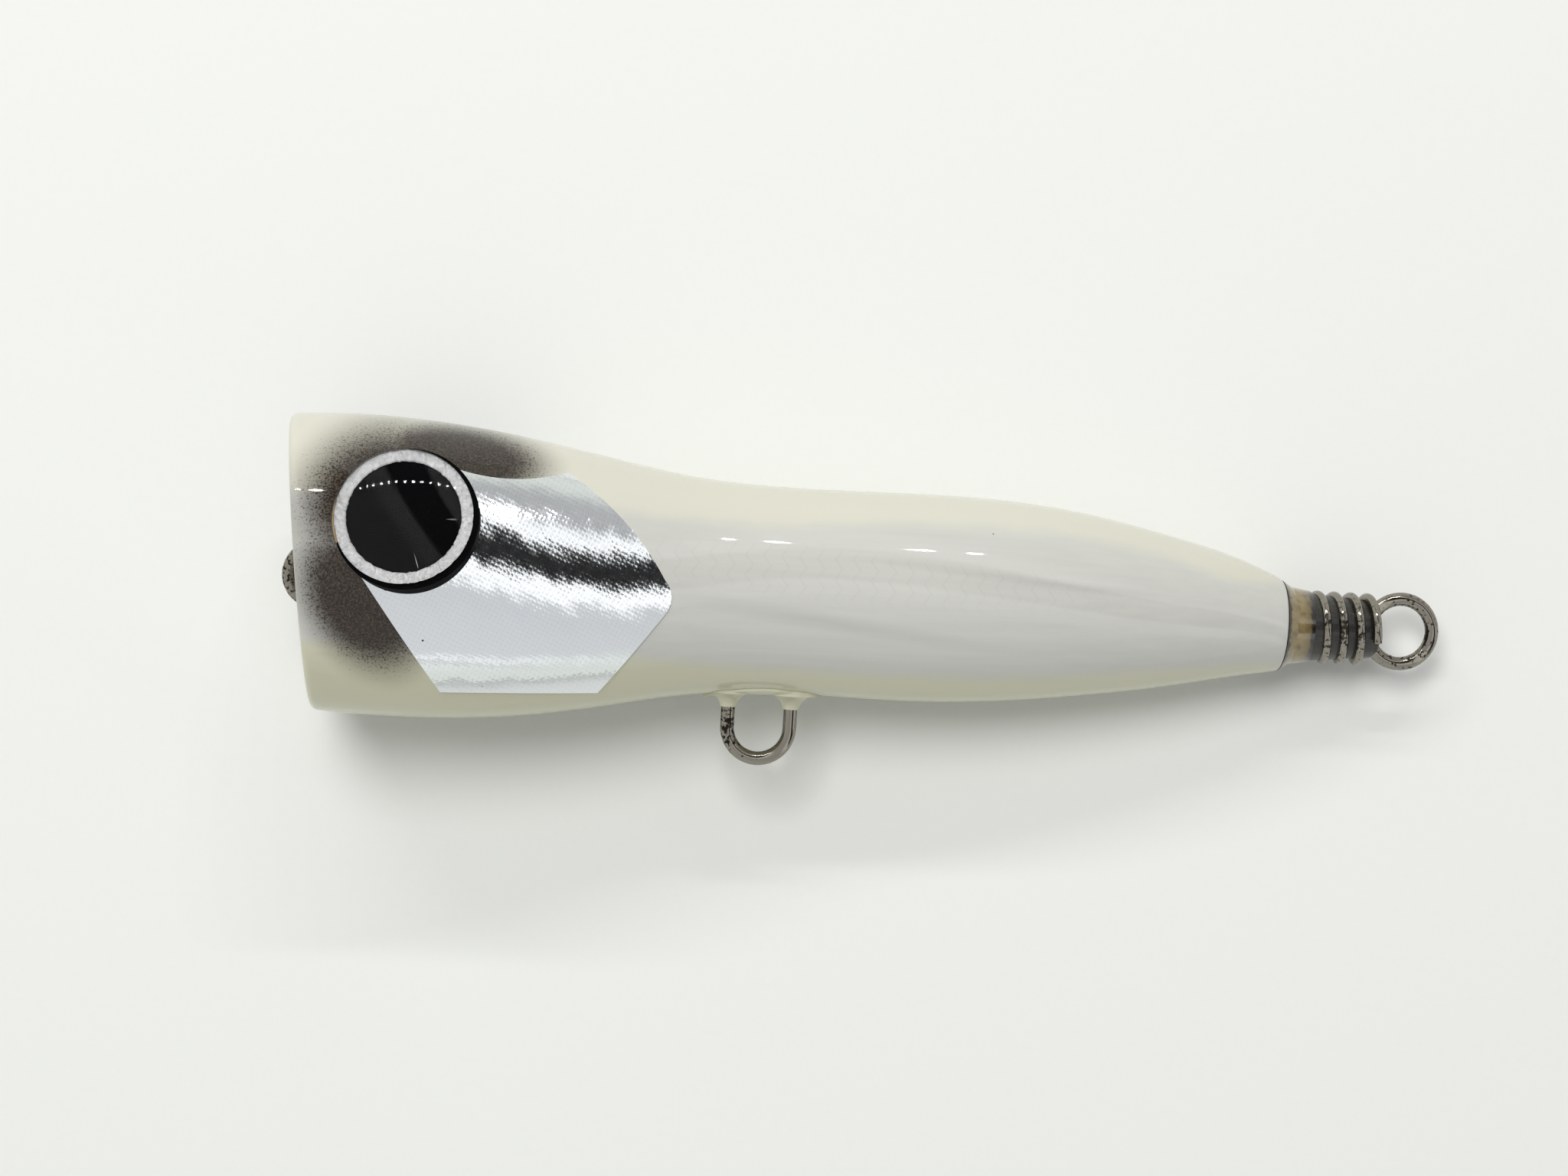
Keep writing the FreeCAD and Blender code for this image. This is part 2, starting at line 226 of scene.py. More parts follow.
def arc_points(first: Vector, middle: Vector, last: Vector, steps: int) -> list[Vector]:
    """Points on the arc through three points, without its first one."""
    a, b, c = first.xy, middle.xy, last.xy
    d = 2 * (a.x * (b.y - c.y) + b.x * (c.y - a.y) + c.x * (a.y - b.y))
    sq = [p.length_squared for p in (a, b, c)]
    centre = Vector(((sq[0] * (b.y - c.y) + sq[1] * (c.y - a.y) + sq[2] * (a.y - b.y)) / d,
                     (sq[0] * (c.x - b.x) + sq[1] * (a.x - c.x) + sq[2] * (b.x - a.x)) / d))
    start, end = (math.atan2(p.y - centre.y, p.x - centre.x) for p in (a, c))
    sweep = (end - start + math.pi) % (2 * math.pi) - math.pi
    radius = (a - centre).length
    angles = [start + sweep * (i + 1) / steps for i in range(steps)]
    return [Vector((centre.x + radius * math.cos(t), centre.y + radius * math.sin(t), 0)) for t in angles]


# ---- Frames and rings ----

@dataclass(frozen=True)
class LureAxes:
    """The lure's own axes, in mm: X to the tail along the wire, Y to the back, Z to the left side."""

    origin: Vector
    turn: Matrix

    @classmethod
    def from_mounts(cls, mounts: Sequence[dict], nose_eye_x: float) -> "LureAxes":
        """Finds the axes from the three wire eyes.

        Args:
            mounts: the record's mounts.
            nose_eye_x: the nose eye's centre on the lure's X.

        Returns:
            The axes in the row frame.
        """
        eyes = {mount["name"]: Vector(mount["pos_m"]) for mount in mounts}
        nose = eyes["nose_eye"]
        along = (eyes["tail_eye"] - nose).normalized()
        down = eyes["belly_eye"] - nose
        up = -(down - along * down.dot(along)).normalized()
        turn = Matrix((along, up, along.cross(up))).transposed()
        return cls(nose - along * nose_eye_x * MM, turn)

    def matrix(self) -> Matrix:
        """From the lure's millimetres to the row frame."""
        return Matrix.Translation(self.origin) @ self.turn.to_4x4() @ Matrix.Scale(MM, 4)

    def point(self, x: float, y: float, z: float = 0.0) -> Vector:
        """A point of the lure in the row frame."""
        return self.matrix() @ Vector((x, y, z))

    def place(self, piece: Piece) -> None:
        """Puts a piece that was modelled in the lure's millimetres into the row frame."""
        bake_place(piece, self.matrix())

    def texture_place(self, tree: Tree) -> Socket:
        """Object coordinates turned into the lure's millimetres."""
        back = self.turn.transposed()
        where = add_node(tree, "ShaderNodeTexCoord", out=3)
        return add_node(tree, NODE_MAPPING, {
            "vector_type": "POINT", "Scale": (1 / MM,) * 3, "Rotation": back.to_euler("XYZ"),
            "Location": -(back @ self.origin) / MM}, {"Vector": where})


@dataclass(frozen=True)
class Ring:
    """One oval section of a piece: its middle, half sizes and tilt about Z, in mm and radians."""

    x: float
    y: float
    high: float
    wide: float
    tilt: float = 0.0
    z: float = 0.0


class RingWork:
    """A piece shaped ring by ring in edit mode, with the last ring selected."""

    def __init__(self, name: str, start: Ring, segments: int) -> None:
        """Adds the first ring.

        Args:
            name: the piece's name.
            start: its first ring.
            segments: points in a ring.
        """
        bpy.ops.object.select_all(action="DESELECT")
        bpy.ops.mesh.primitive_circle_add(vertices=segments, radius=1.0, rotation=(0, math.pi / 2, 0))
        self.piece = bpy.context.object
        self.piece.name = self.piece.data.name = name
        bpy.ops.object.transform_apply(location=False, rotation=True, scale=False)
        bpy.ops.object.mode_set(mode="EDIT")
        bpy.ops.mesh.select_mode(type="VERT")
        bpy.ops.mesh.select_all(action="SELECT")
        self.ring = Ring(0.0, 0.0, 1.0, 1.0)
        self._shape(start)

    def _shape(self, ring: Ring) -> None:
        """Turns the selected ring into the given one."""
        old = self.ring
        centre = (old.x, old.y, old.z)
        if old.tilt:
            turn_selected(-old.tilt, "Z", centre)
        bpy.ops.transform.resize(value=(1.0, ring.high / old.high, ring.wide / old.wide),
                                 center_override=centre)
        bpy.ops.transform.translate(value=(ring.x - old.x, ring.y - old.y, ring.z - old.z))
        if ring.tilt:
            turn_selected(ring.tilt, "Z", (ring.x, ring.y, ring.z))
        self.ring = ring

    def add(self, *rings: Ring) -> "RingWork":
        """Extrudes one ring after another."""
        for ring in rings:
            bpy.ops.mesh.extrude_region_move()
            self._shape(ring)
        return self

    def roughen(self, amount: float, seed: int, flat: bool = True) -> "RingWork":
        """Moves the selected ring's points at random, in its own plane if it stays flat."""
        bpy.ops.transform.vertex_random(offset=amount, uniform=0.0, normal=0.0, seed=seed)
        if flat:
            bpy.ops.transform.resize(value=(0.0, 1.0, 1.0), center_override=(self.ring.x, self.ring.y, 0.0))
        return self

    def finish(self, pole: bool = True) -> Piece:
        """Closes both ends.

        Args:
            pole: whether the last ring runs in to one point rather than ending in a flat cap.

        Returns:
            The finished piece, still in the lure's millimetres.
        """
        if pole:
            bpy.ops.mesh.extrude_region_move()
            bpy.ops.mesh.merge(type="CENTER")
        bpy.ops.mesh.select_all(action="DESELECT")
        bpy.ops.mesh.select_non_manifold()
        bpy.ops.mesh.fill_holes(sides=0)
        bpy.ops.object.mode_set(mode="OBJECT")
        close_up(self.piece)
        return self.piece


# ---- Finishes ----

@dataclass(frozen=True)
class Finish:
    """A material of one of the lure's parts; each kind paints its own nodes."""

    axes: LureAxes

    def paint(self, tree: Tree, where: Socket) -> dict:
        """Builds the pattern.

        Args:
            tree: the material's nodes.
            where: the lure's millimetres.

        Returns:
            Links and values for the surface shader, as {"links": ..., "settings": ...}.
        """
        raise NotImplementedError

    def material(self) -> bpy.types.Material:
        """Builds the material, named for its class."""
        made = bpy.data.materials.new(type(self).__name__)
        made.use_nodes = True
        tree = made.node_tree
        tree.nodes.clear()
        recipe = self.paint(tree, self.axes.texture_place(tree))
        surface = add_node(tree, "ShaderNodeBsdfPrincipled", recipe["settings"], recipe["links"])
        add_node(tree, "ShaderNodeOutputMaterial", links={"Surface": surface})
        return made


def oval_mask(tree: Tree, where: Socket, centre: tuple[float, float], half: tuple[float, float],
              angle: float = 0.0) -> Socket:
    """Soft oval spot seen from the side.

    Args:
        tree: node tree.
        where: the lure's millimetres.
        centre: the spot's middle.
        half: its half sizes.
        angle: its turn, in degrees.

    Returns:
        1 in the middle, falling to 0 at the oval's edge.
    """
    turn = Matrix.Rotation(math.radians(-angle), 2)
    spot = turn @ Vector(centre)
    scale = (1 / half[0], 1 / half[1], 0.0)
    placed = add_node(tree, NODE_MAPPING, {"Rotation": (0, 0, math.radians(-angle)),
                                           "Location": (-spot.x, -spot.y, 0)},
                      {"Vector": where})
    sized = add_node(tree, NODE_MAPPING, {"Scale": scale}, {"Vector": placed})
    return add_node(tree, "ShaderNodeTexGradient", {"gradient_type": "SPHERICAL"}, {"Vector": sized}, out=1)


@dataclass(frozen=True)
class PearlLacquer(Finish):
    """Dipped pearl lacquer over sprayed paint: gloss over cream, a soft grey flank, airbrushed cheeks."""

    back_cream: str = "D6D4C5"
    # The belly's darker, greener cream is painted shade on the side away from the light.
    belly_cream_painted_shade: str = "CFCDB3"
    flank: str = "CBCBC4"
    mist: str = "2A1905"
    droplets: str = "1A130B"
    speck: str = "4A4036"
    length: float = 131.0
    tall: float = 21.0
    grain: float = 0.13        # mm, a sprayed droplet
    streak: float = 22.0       # mm, length of a streak in the film under the lacquer
    scale_tick: float = 2.3    # mm between the film's scale ticks

    def _edge(self, tree: Tree, along: Socket, stops: Sequence[tuple[float, float]]) -> Socket:
        """Height of the flank's edge along the lure, from (x, height) pairs in mm."""
        ramp = add_node(tree, NODE_RAMP, {
            "stops": [(x / self.length, grey(abs(y) / self.tall)) for x, y in stops]}, {0: along})
        return add_node(tree, NODE_MATH, {"operation": "MULTIPLY", 1: math.copysign(self.tall, stops[0][1])},
                        {0: ramp})

    def _flank(self, tree: Tree, where: Socket, parts: bpy.types.Node) -> Socket:
        """1 on the grey flank, 0 on the cream back and belly."""
        along = add_node(tree, NODE_MATH, {"operation": "DIVIDE", 1: self.length}, {0: parts.outputs[0]})
        top = self._edge(tree, along, [(40, 12.0), (51, 10.9), (61, 10.6), (81, 12.0), (91, 12.1),
                                       (101, 11.6), (112, 9.9), (124, 6.6)])
        low = self._edge(tree, along, [(40, -7.2), (62, -8.3), (82, -8.3), (92, -8.1), (112, -6.3),
                                       (124, -4.9)])
        wobble = add_node(tree, NODE_NOISE, {"Scale": 0.25, "Detail": 3.0}, {"Vector": where})
        height = add_node(tree, NODE_MATH, {"operation": "ADD"}, {0: parts.outputs[1], 1: wobble})
        above = add_node(tree, NODE_MATH, {"operation": "SUBTRACT"}, {0: top, 1: height})
        below = add_node(tree, NODE_MATH, {"operation": "SUBTRACT"}, {0: height, 1: low})
        inside = add_node(tree, NODE_MATH, {"operation": "MINIMUM"}, {0: above, 1: below})
        return add_node(tree, NODE_RANGE, {**SMOOTH, "From Min": -0.9, "From Max": 1.4},
                        {"Value": inside})

    def _spray(self, tree: Tree, where: Socket) -> tuple[Socket, Socket]:
        """Airbrushed halo round the eye: a smooth mist, and fine droplets that reach a little further."""
        spots = [((13.5, 10.0), (15.0, 14.0), 0.0), ((11.0, -1.5), (14.0, 9.5), -55.0),
                 ((22.0, 16.5), (15.0, 5.5), -5.0)]
        density: Optional[Socket] = None
        for centre, half, angle in spots:
            spot = oval_mask(tree, where, centre, half, angle)
            density = spot if density is None else add_node(
                tree, NODE_MATH, {"operation": "MAXIMUM"}, {0: density, 1: spot})
        thick = add_node(tree, NODE_RANGE, {**SMOOTH, "From Min": 0.0, "From Max": 0.58,
                                            "To Min": 0.0, "To Max": 0.95}, {"Value": density})
        drops = add_node(tree, NODE_NOISE, {"Scale": 1 / (2 * self.grain), "Detail": 4.0, "Roughness": 0.75},
                         {"Vector": where})
        uneven = add_node(tree, NODE_MATH, {"operation": "MULTIPLY_ADD", 1: 0.35, 2: 0.85}, {0: drops})
        mist = add_node(tree, NODE_MATH, {"operation": "MULTIPLY", "use_clamp": True}, {0: thick, 1: uneven})
        push = add_node(tree, NODE_MATH, {"operation": "MULTIPLY_ADD", 1: 0.22}, {0: thick, 2: drops})
        fleck = add_node(tree, NODE_RANGE, {**SMOOTH, "From Min": 0.65, "From Max": 0.78},
                         {"Value": push})
        reach = add_node(tree, NODE_RANGE, {"From Min": 0.01, "From Max": 0.15}, {"Value": thick})
        far = add_node(tree, NODE_MATH, {"operation": "MULTIPLY"}, {0: fleck, 1: reach})
        outside = self._outside(tree, where)
        shown = [add_node(tree, NODE_MATH, {"operation": "MULTIPLY"},
                          {0: layer, 1: outside}) for layer in (mist, far)]
        return shown[0], shown[1]

    def _outside(self, tree: Tree, where: Socket) -> Socket:
        """1 on the outside of the head, 0 inside the cup, which the spray didn't reach."""
        half_high, half_wide, middle, lean = 19.0, 17.0, 1.7, 0.006
        section = add_node(tree, NODE_MAPPING, {"Scale": (0.0, 1 / half_high, 1 / half_wide),
                                                "Location": (0.0, -middle / half_high, 0.0)},
                           {"Vector": where})
        radius = add_node(tree, "ShaderNodeVectorMath", {"operation": "LENGTH"}, {0: section}, out=1)
        along = add_node(tree, NODE_SPLIT, links={0: where})
        value = add_node(tree, NODE_MATH, {"operation": "MULTIPLY_ADD", 1: lean}, {0: along, 2: radius})
        return add_node(tree, NODE_RANGE, {"From Min": 0.88, "From Max": 0.93}, {"Value": value})

    def _fold(self, tree: Tree, where: Socket, start: tuple[float, float], end: tuple[float, float],
              width: float) -> Socket:
        """A long soft fold of the film under the lacquer, from start to end in mm."""
        run = Vector(end) - Vector(start)
        middle = (Vector(start) + Vector(end)) / 2
        return oval_mask(tree, where, (middle.x, middle.y), (run.length / 2, width),
                         math.degrees(math.atan2(run.y, run.x)))

    def _ticks(self, tree: Tree, parts: bpy.types.Node, where: Socket) -> Socket:
        """Two rows of pressed scale ticks, seen faintly through the lacquer."""
        row = add_node(tree, NODE_MATH, {"operation": "PINGPONG", 1: 1.25}, {0: parts.outputs[1]})
        lean = add_node(tree, NODE_MATH, {"operation": "MULTIPLY_ADD", 1: 0.8}, {0: row, 2: parts.outputs[0]})
        beat = add_node(tree, NODE_MATH, {"operation": "PINGPONG", 1: self.scale_tick / 2}, {0: lean})
        line = add_node(tree, NODE_RANGE, {**SMOOTH, "From Min": 0.0, "From Max": 0.28,
                                           "To Min": 1.0, "To Max": 0.0}, {"Value": beat})
        zone = oval_mask(tree, where, (72.0, 4.2), (42.0, 4.0), -2.0)
        strong = add_node(tree, NODE_RANGE, {"From Max": 0.4}, {"Value": zone})
        return add_node(tree, NODE_MATH, {"operation": "MULTIPLY"}, {0: line, 1: strong})

    def paint(self, tree: Tree, where: Socket) -> dict:
        """Cream base with painted shade towards the belly, grey flank with folds and ticks (the folds
        darkened with painted shade), sprayed mist and droplets, specks, clear gloss.
        """
        parts = add_node(tree, NODE_SPLIT, links={0: where}).node
        flank = self._flank(tree, where, parts)
        stretched = add_node(tree, NODE_MAPPING, {"Scale": (1 / self.streak, 1.1, 1.1)}, {"Vector": where})
        streaks = add_node(tree, NODE_NOISE, {"Scale": 1.0, "Detail": 5.0, "Roughness": 0.6},
                           {"Vector": stretched})
        shade = add_node(tree, NODE_RANGE, {"From Min": 0.3, "From Max": 0.7, "To Min": 0.965,
                                            "To Max": 1.02},
                         {"Value": streaks})
        folds = [self._fold(tree, where, (46.0, 0.9), (94.0, -4.4), 1.5),
                 self._fold(tree, where, (70.0, 6.8), (124.0, 2.6), 0.8)]
        fold = add_node(tree, NODE_MATH, {"operation": "MAXIMUM"}, {0: folds[0], 1: folds[1]})
        ticks = self._ticks(tree, parts, where)
        marks = add_node(tree, NODE_MATH, {"operation": "MULTIPLY_ADD", 1: 0.35}, {0: ticks, 2: fold})
        # Painted shade along the folds: they darken the colour as well as the bump. The ticks' darkening is
        # their own pressed pattern.
        dark = add_node(tree, NODE_RANGE, {"From Max": 1.0, "To Min": 1.0, "To Max": 0.88}, {"Value": marks})
        tone = add_node(tree, NODE_MATH, {"operation": "MULTIPLY"}, {0: shade, 1: dark})
        grey_side = add_node(tree, NODE_MIX, {**COLOUR, "blend_type": "MULTIPLY", 0: 1.0,
                                              6: linear(self.flank)}, {7: tone}, out=2)
        # Painted shade: the cream darkens and greens from the back towards the belly.
        height = add_node(tree, NODE_RANGE, {"From Min": -13.0, "From Max": 9.0}, {"Value": parts.outputs[1]})
        cream = add_node(tree, NODE_MIX, {**COLOUR, 6: linear(self.belly_cream_painted_shade), 7: linear(self.back_cream)},
                         {0: height}, out=2)
        base = add_node(tree, NODE_MIX, COLOUR, {0: flank, 6: cream, 7: grey_side}, out=2)
        cells = add_node(tree, NODE_CELLS, {"Scale": 0.085}, {"Vector": where})
        dot = add_node(tree, NODE_MATH, {"operation": "LESS_THAN", 1: 0.010}, {0: cells})
        specked = add_node(tree, NODE_MIX, {**COLOUR, 7: linear(self.speck)}, {0: dot, 6: base}, out=2)
        mist, droplets = self._spray(tree, where)
        misted = add_node(tree, NODE_MIX, {**COLOUR, 7: linear(self.mist)}, {0: mist, 6: specked}, out=2)
        colour = add_node(tree, NODE_MIX, {**COLOUR, 7: linear(self.droplets)},
                          {0: droplets, 6: misted}, out=2)
        peel = add_node(tree, NODE_NOISE, {"Scale": 0.35, "Detail": 2.0}, {"Vector": where})
        pressed = add_node(tree, NODE_MATH, {"operation": "MULTIPLY_ADD", 1: 0.5}, {0: marks, 2: peel})
        relief = add_node(tree, NODE_BUMP, {"Strength": 0.12, "Distance": 0.25 * MM}, {"Height": pressed})
        return {"links": {"Base Color": colour, "Normal": relief},
                "settings": {"Roughness": 0.42, "Metallic": 0.0, "Specular IOR Level": 0.1,
                             "Coat Weight": 0.7, "Coat Roughness": 0.03, "Coat IOR": 1.5, "IOR": 1.45}}


@dataclass(frozen=True)
class SilverFoil(Finish):
    """Crumpled silver foil in the eye: a bright ring broken up by sharp little creases."""

    silver: str = "FFFFFF"
    shade: str = "C6C6C6"
    crease: float = 0.8        # mm between creases

    def paint(self, tree: Tree, where: Socket) -> dict:
        """Creased foil with a faint painted shade along its folds."""
        facets = add_node(tree, NODE_CELLS, {"Scale": 1 / self.crease, "distance": "EUCLIDEAN"},
                          {"Vector": where})
        folds = add_node(tree, NODE_NOISE, {"Scale": 1.4 / self.crease, "Detail": 5.0, "Distortion": 1.2},
                         {"Vector": where})
        height = add_node(tree, NODE_MATH, {"operation": "ADD"}, {0: facets, 1: folds})
        relief = add_node(tree, NODE_BUMP, {"Strength": 0.75, "Distance": 0.5 * MM}, {"Height": height})
        # Painted shade: the foil greys along the folds that also shape its bumps.
        colour = add_node(tree, NODE_MIX, {**COLOUR, 6: linear(self.silver), 7: linear(self.shade)},
                          {0: folds}, out=2)
        rough = add_node(tree, NODE_RANGE, {"To Min": 0.3, "To Max": 0.55}, {"Value": folds})
        return {"links": {"Base Color": colour, "Normal": relief, "Roughness": rough},
                "settings": {"Metallic": 0.45}}


@dataclass(frozen=True)
class PrintedBlack(Finish):
    """Black ink printed on foil: near-black and almost matt, with fine dust."""

    ink: str = "060607"
    dust: str = "17171A"

    def paint(self, tree: Tree, where: Socket) -> dict:
        """Ink with a little fine dust."""
        grain = add_node(tree, NODE_NOISE, {"Scale": 5.0, "Detail": 3.0}, {"Vector": where})
        spot = add_node(tree, NODE_RANGE, {"From Min": 0.62, "From Max": 0.72}, {"Value": grain})
        colour = add_node(tree, NODE_MIX, {**COLOUR, 6: linear(self.ink), 7: linear(self.dust)},
                          {0: spot}, out=2)
        rough = add_node(tree, NODE_RANGE, {"To Min": 0.5, "To Max": 0.65}, {"Value": grain})
        return {"links": {"Base Color": colour, "Roughness": rough},
                "settings": {"IOR": 1.5, "Specular IOR Level": 0.02}}


@dataclass(frozen=True)
class CastLens(Finish):
    """Clear domed casting resin, smooth from its own surface tension: a thin sharp reflection, no colour."""

    def paint(self, tree: Tree, where: Socket) -> dict:
        """Clear resin with the faintest waviness."""
        wave = add_node(tree, NODE_NOISE, {"Scale": 0.12, "Detail": 1.0}, {"Vector": where})
        relief = add_node(tree, NODE_BUMP, {"Strength": 0.05, "Distance": 0.3 * MM}, {"Height": wave})
        return {"links": {"Normal": relief},
                "settings": {"Base Color": (1.0, 1.0, 1.0, 1.0), "Transmission Weight": 1.0, "Roughness": 0.0,
                             "IOR": 1.49, "Specular IOR Level": 0.3, "Alpha": 0.3}}


@dataclass(frozen=True)
class MirrorFoil(Finish):
    """Aluminium foil pressed with a fine dotted weave: a mirror that breaks reflections into grains."""

    bright: str = "E4E7E9"
    dull: str = "DFE2E5"
    mark: str = "4B4A48"
    weave: float = 0.56        # mm between the pressed dots
    wave: float = 7.0          # mm, the sheet's own waviness

    def paint(self, tree: Tree, where: Socket) -> dict:
        """Dots in rows, crinkles and a few specks over a wavy mirror."""
        turned = add_node(tree, NODE_MAPPING, {"Rotation": (0, 0, math.radians(24))}, {"Vector": where})
        dots = add_node(tree, NODE_CELLS, {"voronoi_dimensions": "2D", "Scale": 1 / self.weave,
                                           "Randomness": 0.18},
                        {"Vector": turned})
        bead = add_node(tree, NODE_RANGE, {**SMOOTH, "From Min": 0.12, "From Max": 0.5,
                                           "To Min": 1.0, "To Max": 0.0}, {"Value": dots})
        crinkle = add_node(tree, NODE_NOISE, {"Scale": 1.1, "Detail": 4.0, "Roughness": 0.6},
                           {"Vector": where})
        waves = add_node(tree, NODE_NOISE, {"Scale": 1 / self.wave, "Detail": 2.0}, {"Vector": where})
        fine = add_node(tree, NODE_BUMP, {"Strength": 0.12, "Distance": 0.04 * MM}, {"Height": bead})
        mid = add_node(tree, NODE_BUMP, {"Strength": 0.15, "Distance": 0.14 * MM},
                       {"Height": crinkle, "Normal": fine})
        relief = add_node(tree, NODE_BUMP, {"Strength": 0.35, "Distance": 0.6 * MM},
                          {"Height": waves, "Normal": mid})
        colour = add_node(tree, NODE_MIX, {**COLOUR, 6: linear(self.bright), 7: linear(self.dull)},
                          {0: bead}, out=2)
        cells = add_node(tree, NODE_CELLS, {"Scale": 0.28}, {"Vector": where})
        speck = add_node(tree, NODE_MATH, {"operation": "LESS_THAN", 1: 0.045}, {0: cells})
        marked = add_node(tree, NODE_MIX, {**COLOUR, 7: linear(self.mark)}, {0: speck, 6: colour}, out=2)
        rough = add_node(tree, NODE_RANGE, {"To Min": 0.05, "To Max": 0.16}, {"Value": crinkle})
        return {"links": {"Base Color": marked, "Normal": relief, "Roughness": rough},
                "settings": {"Metallic": 1.0}}


@dataclass(frozen=True)
class DrawnSteel(Finish):
    """Stainless wire, drawn and polished: warm grey, with dark handling marks near its eyes."""

    steel: str = "8C877D"
    mark: str = "2B2722"
    marked_spots: tuple = (((3.0, 0.0), (9.0, 9.0)), ((58.8, -16.5), (3.2, 7.5)), ((148.0, 0.0), (6.5, 8.0)))
    mark_size: float = 0.5     # mm

    def paint(self, tree: Tree, where: Socket) -> dict:
        """Steel with fine draw marks, and dark flecks where it was handled."""
        noise = add_node(tree, NODE_NOISE, {"Scale": 1 / self.mark_size, "Detail": 4.0, "Roughness": 0.6},
                         {"Vector": where})
        zone: Optional[Socket] = None
        for centre, half in self.marked_spots:
            spot = oval_mask(tree, where, centre, half)
            zone = spot if zone is None else add_node(tree, NODE_MATH, {"operation": "MAXIMUM"},
                                                      {0: zone, 1: spot})
        push = add_node(tree, NODE_MATH, {"operation": "MULTIPLY_ADD", 1: 0.24}, {0: zone, 2: noise})
        fleck = add_node(tree, NODE_RANGE, {**SMOOTH, "From Min": 0.66, "From Max": 0.74},
                         {"Value": push})
        colour = add_node(tree, NODE_MIX, {**COLOUR, 6: linear(self.steel), 7: linear(self.mark)},
                          {0: fleck}, out=2)
        rough = add_node(tree, NODE_RANGE, {"To Min": 0.14, "To Max": 0.5}, {"Value": fleck})
        scratch = add_node(tree, NODE_NOISE, {"Scale": 4.0, "Detail": 3.0}, {"Vector": where})
        relief = add_node(tree, NODE_BUMP, {"Strength": 0.15, "Distance": 0.03 * MM}, {"Height": scratch})
        return {"links": {"Base Color": colour, "Roughness": rough, "Normal": relief},
                "settings": {"Metallic": 1.0}}


@dataclass(frozen=True)
class BindingSteel(DrawnSteel):
    """Stainless binding wire under a skin of resin: softer and greyer than the bare wire."""

    steel: str = "8F8A80"
    mark: str = "3A362F"
    marked_spots: tuple = (((139.0, 0.0), (8.0, 6.0)),)


@dataclass(frozen=True)
class AmberResin(Finish):
    """Amber epoxy, brushed on and cured: glossy bronze that darkens where it is thick and at its edges."""

    amber: str = "85744C"
    deep: str = "2A1E10"
    start: float = 131.0
    end: float = 134.8

    def paint(self, tree: Tree, where: Socket) -> dict:
        """Bronze band with ragged dark borders."""
        ragged = add_node(tree, NODE_NOISE, {"Scale": 1.1, "Detail": 4.0}, {"Vector": where})
        parts = add_node(tree, NODE_SPLIT, links={0: where}).node
        along = add_node(tree, NODE_MATH, {"operation": "MULTIPLY_ADD", 1: 0.9},
                         {0: ragged, 2: parts.outputs[0]})
        span = add_node(tree, NODE_RANGE, {"From Min": self.start + 0.45, "From Max": self.end + 0.45},
                        {"Value": along})
        band = add_node(tree, NODE_RAMP, {"stops": [
            (0.0, linear("15100A")), (0.06, linear(self.deep)), (0.12, linear(self.amber)),
            (0.55, linear("8A7A52")),
            (0.82, linear("6A5A38")), (0.90, linear("120E09")), (1.0, linear("0D0B08"))]}, {0: span})
        cloud = add_node(tree, NODE_NOISE, {"Scale": 0.9, "Detail": 3.0}, {"Vector": where})
        dark = add_node(tree, NODE_RANGE, {"From Min": 0.5, "From Max": 0.75, "To Max": 0.6},
                        {"Value": cloud})
        colour = add_node(tree, NODE_MIX, {**COLOUR, 7: linear(self.deep)}, {0: dark, 6: band}, out=2)
        return {"links": {"Base Color": colour},
                "settings": {"Roughness": 0.25, "IOR": 1.54, "Coat Weight": 1.0, "Coat Roughness": 0.03,
                             "Metallic": 0.2}}


@dataclass(frozen=True)
class DarkResin(Finish):
    """Epoxy filled with dark powder: glossy near-black, with grains just under its skin and brown streaks."""

    black: str = "0B0A08"
    brown: str = "3A2C1B"
    grain: float = 0.22        # mm

    def paint(self, tree: Tree, where: Socket) -> dict:
        """Powder grains and brown streaks under gloss."""
        powder = add_node(tree, NODE_NOISE, {"Scale": 1 / self.grain, "Detail": 4.0}, {"Vector": where})
        streak = add_node(tree, NODE_MAPPING, {"Scale": (0.35, 1.6, 1.6)}, {"Vector": where})
        brown = add_node(tree, NODE_NOISE, {"Scale": 1.0, "Detail": 4.0}, {"Vector": streak})
        both = add_node(tree, NODE_MATH, {"operation": "MULTIPLY"}, {0: powder, 1: brown})
        shown = add_node(tree, NODE_RANGE, {"From Min": 0.26, "From Max": 0.42}, {"Value": both})
        colour = add_node(tree, NODE_MIX, {**COLOUR, 6: linear(self.black), 7: linear(self.brown)},
                          {0: shown}, out=2)
        relief = add_node(tree, NODE_BUMP, {"Strength": 0.5, "Distance": 0.08 * MM}, {"Height": powder})
        return {"links": {"Base Color": colour, "Normal": relief},
                "settings": {"Roughness": 0.5, "IOR": 1.54, "Coat Weight": 0.35, "Coat Roughness": 0.12}}


@dataclass(frozen=True)
class SawnWood(Finish):
    """Light carving wood, planed: straight pale grain. It is sealed inside the lacquer."""

    early: str = "D8BE93"
    late: str = "B48E5C"

    def paint(self, tree: Tree, where: Socket) -> dict:
        """Grain lines along the lure, about 1.5 mm apart."""
        stretched = add_node(tree, NODE_MAPPING, {"Scale": (0.03, 0.65, 0.65)}, {"Vector": where})
        rings = add_node(tree, NODE_NOISE, {"Scale": 1.0, "Detail": 6.0}, {"Vector": stretched})
        colour = add_node(tree, NODE_MIX, {**COLOUR, 6: linear(self.early), 7: linear(self.late)},
                          {0: rings}, out=2)
        return {"links": {"Base Color": colour}, "settings": {"Roughness": 0.7}}


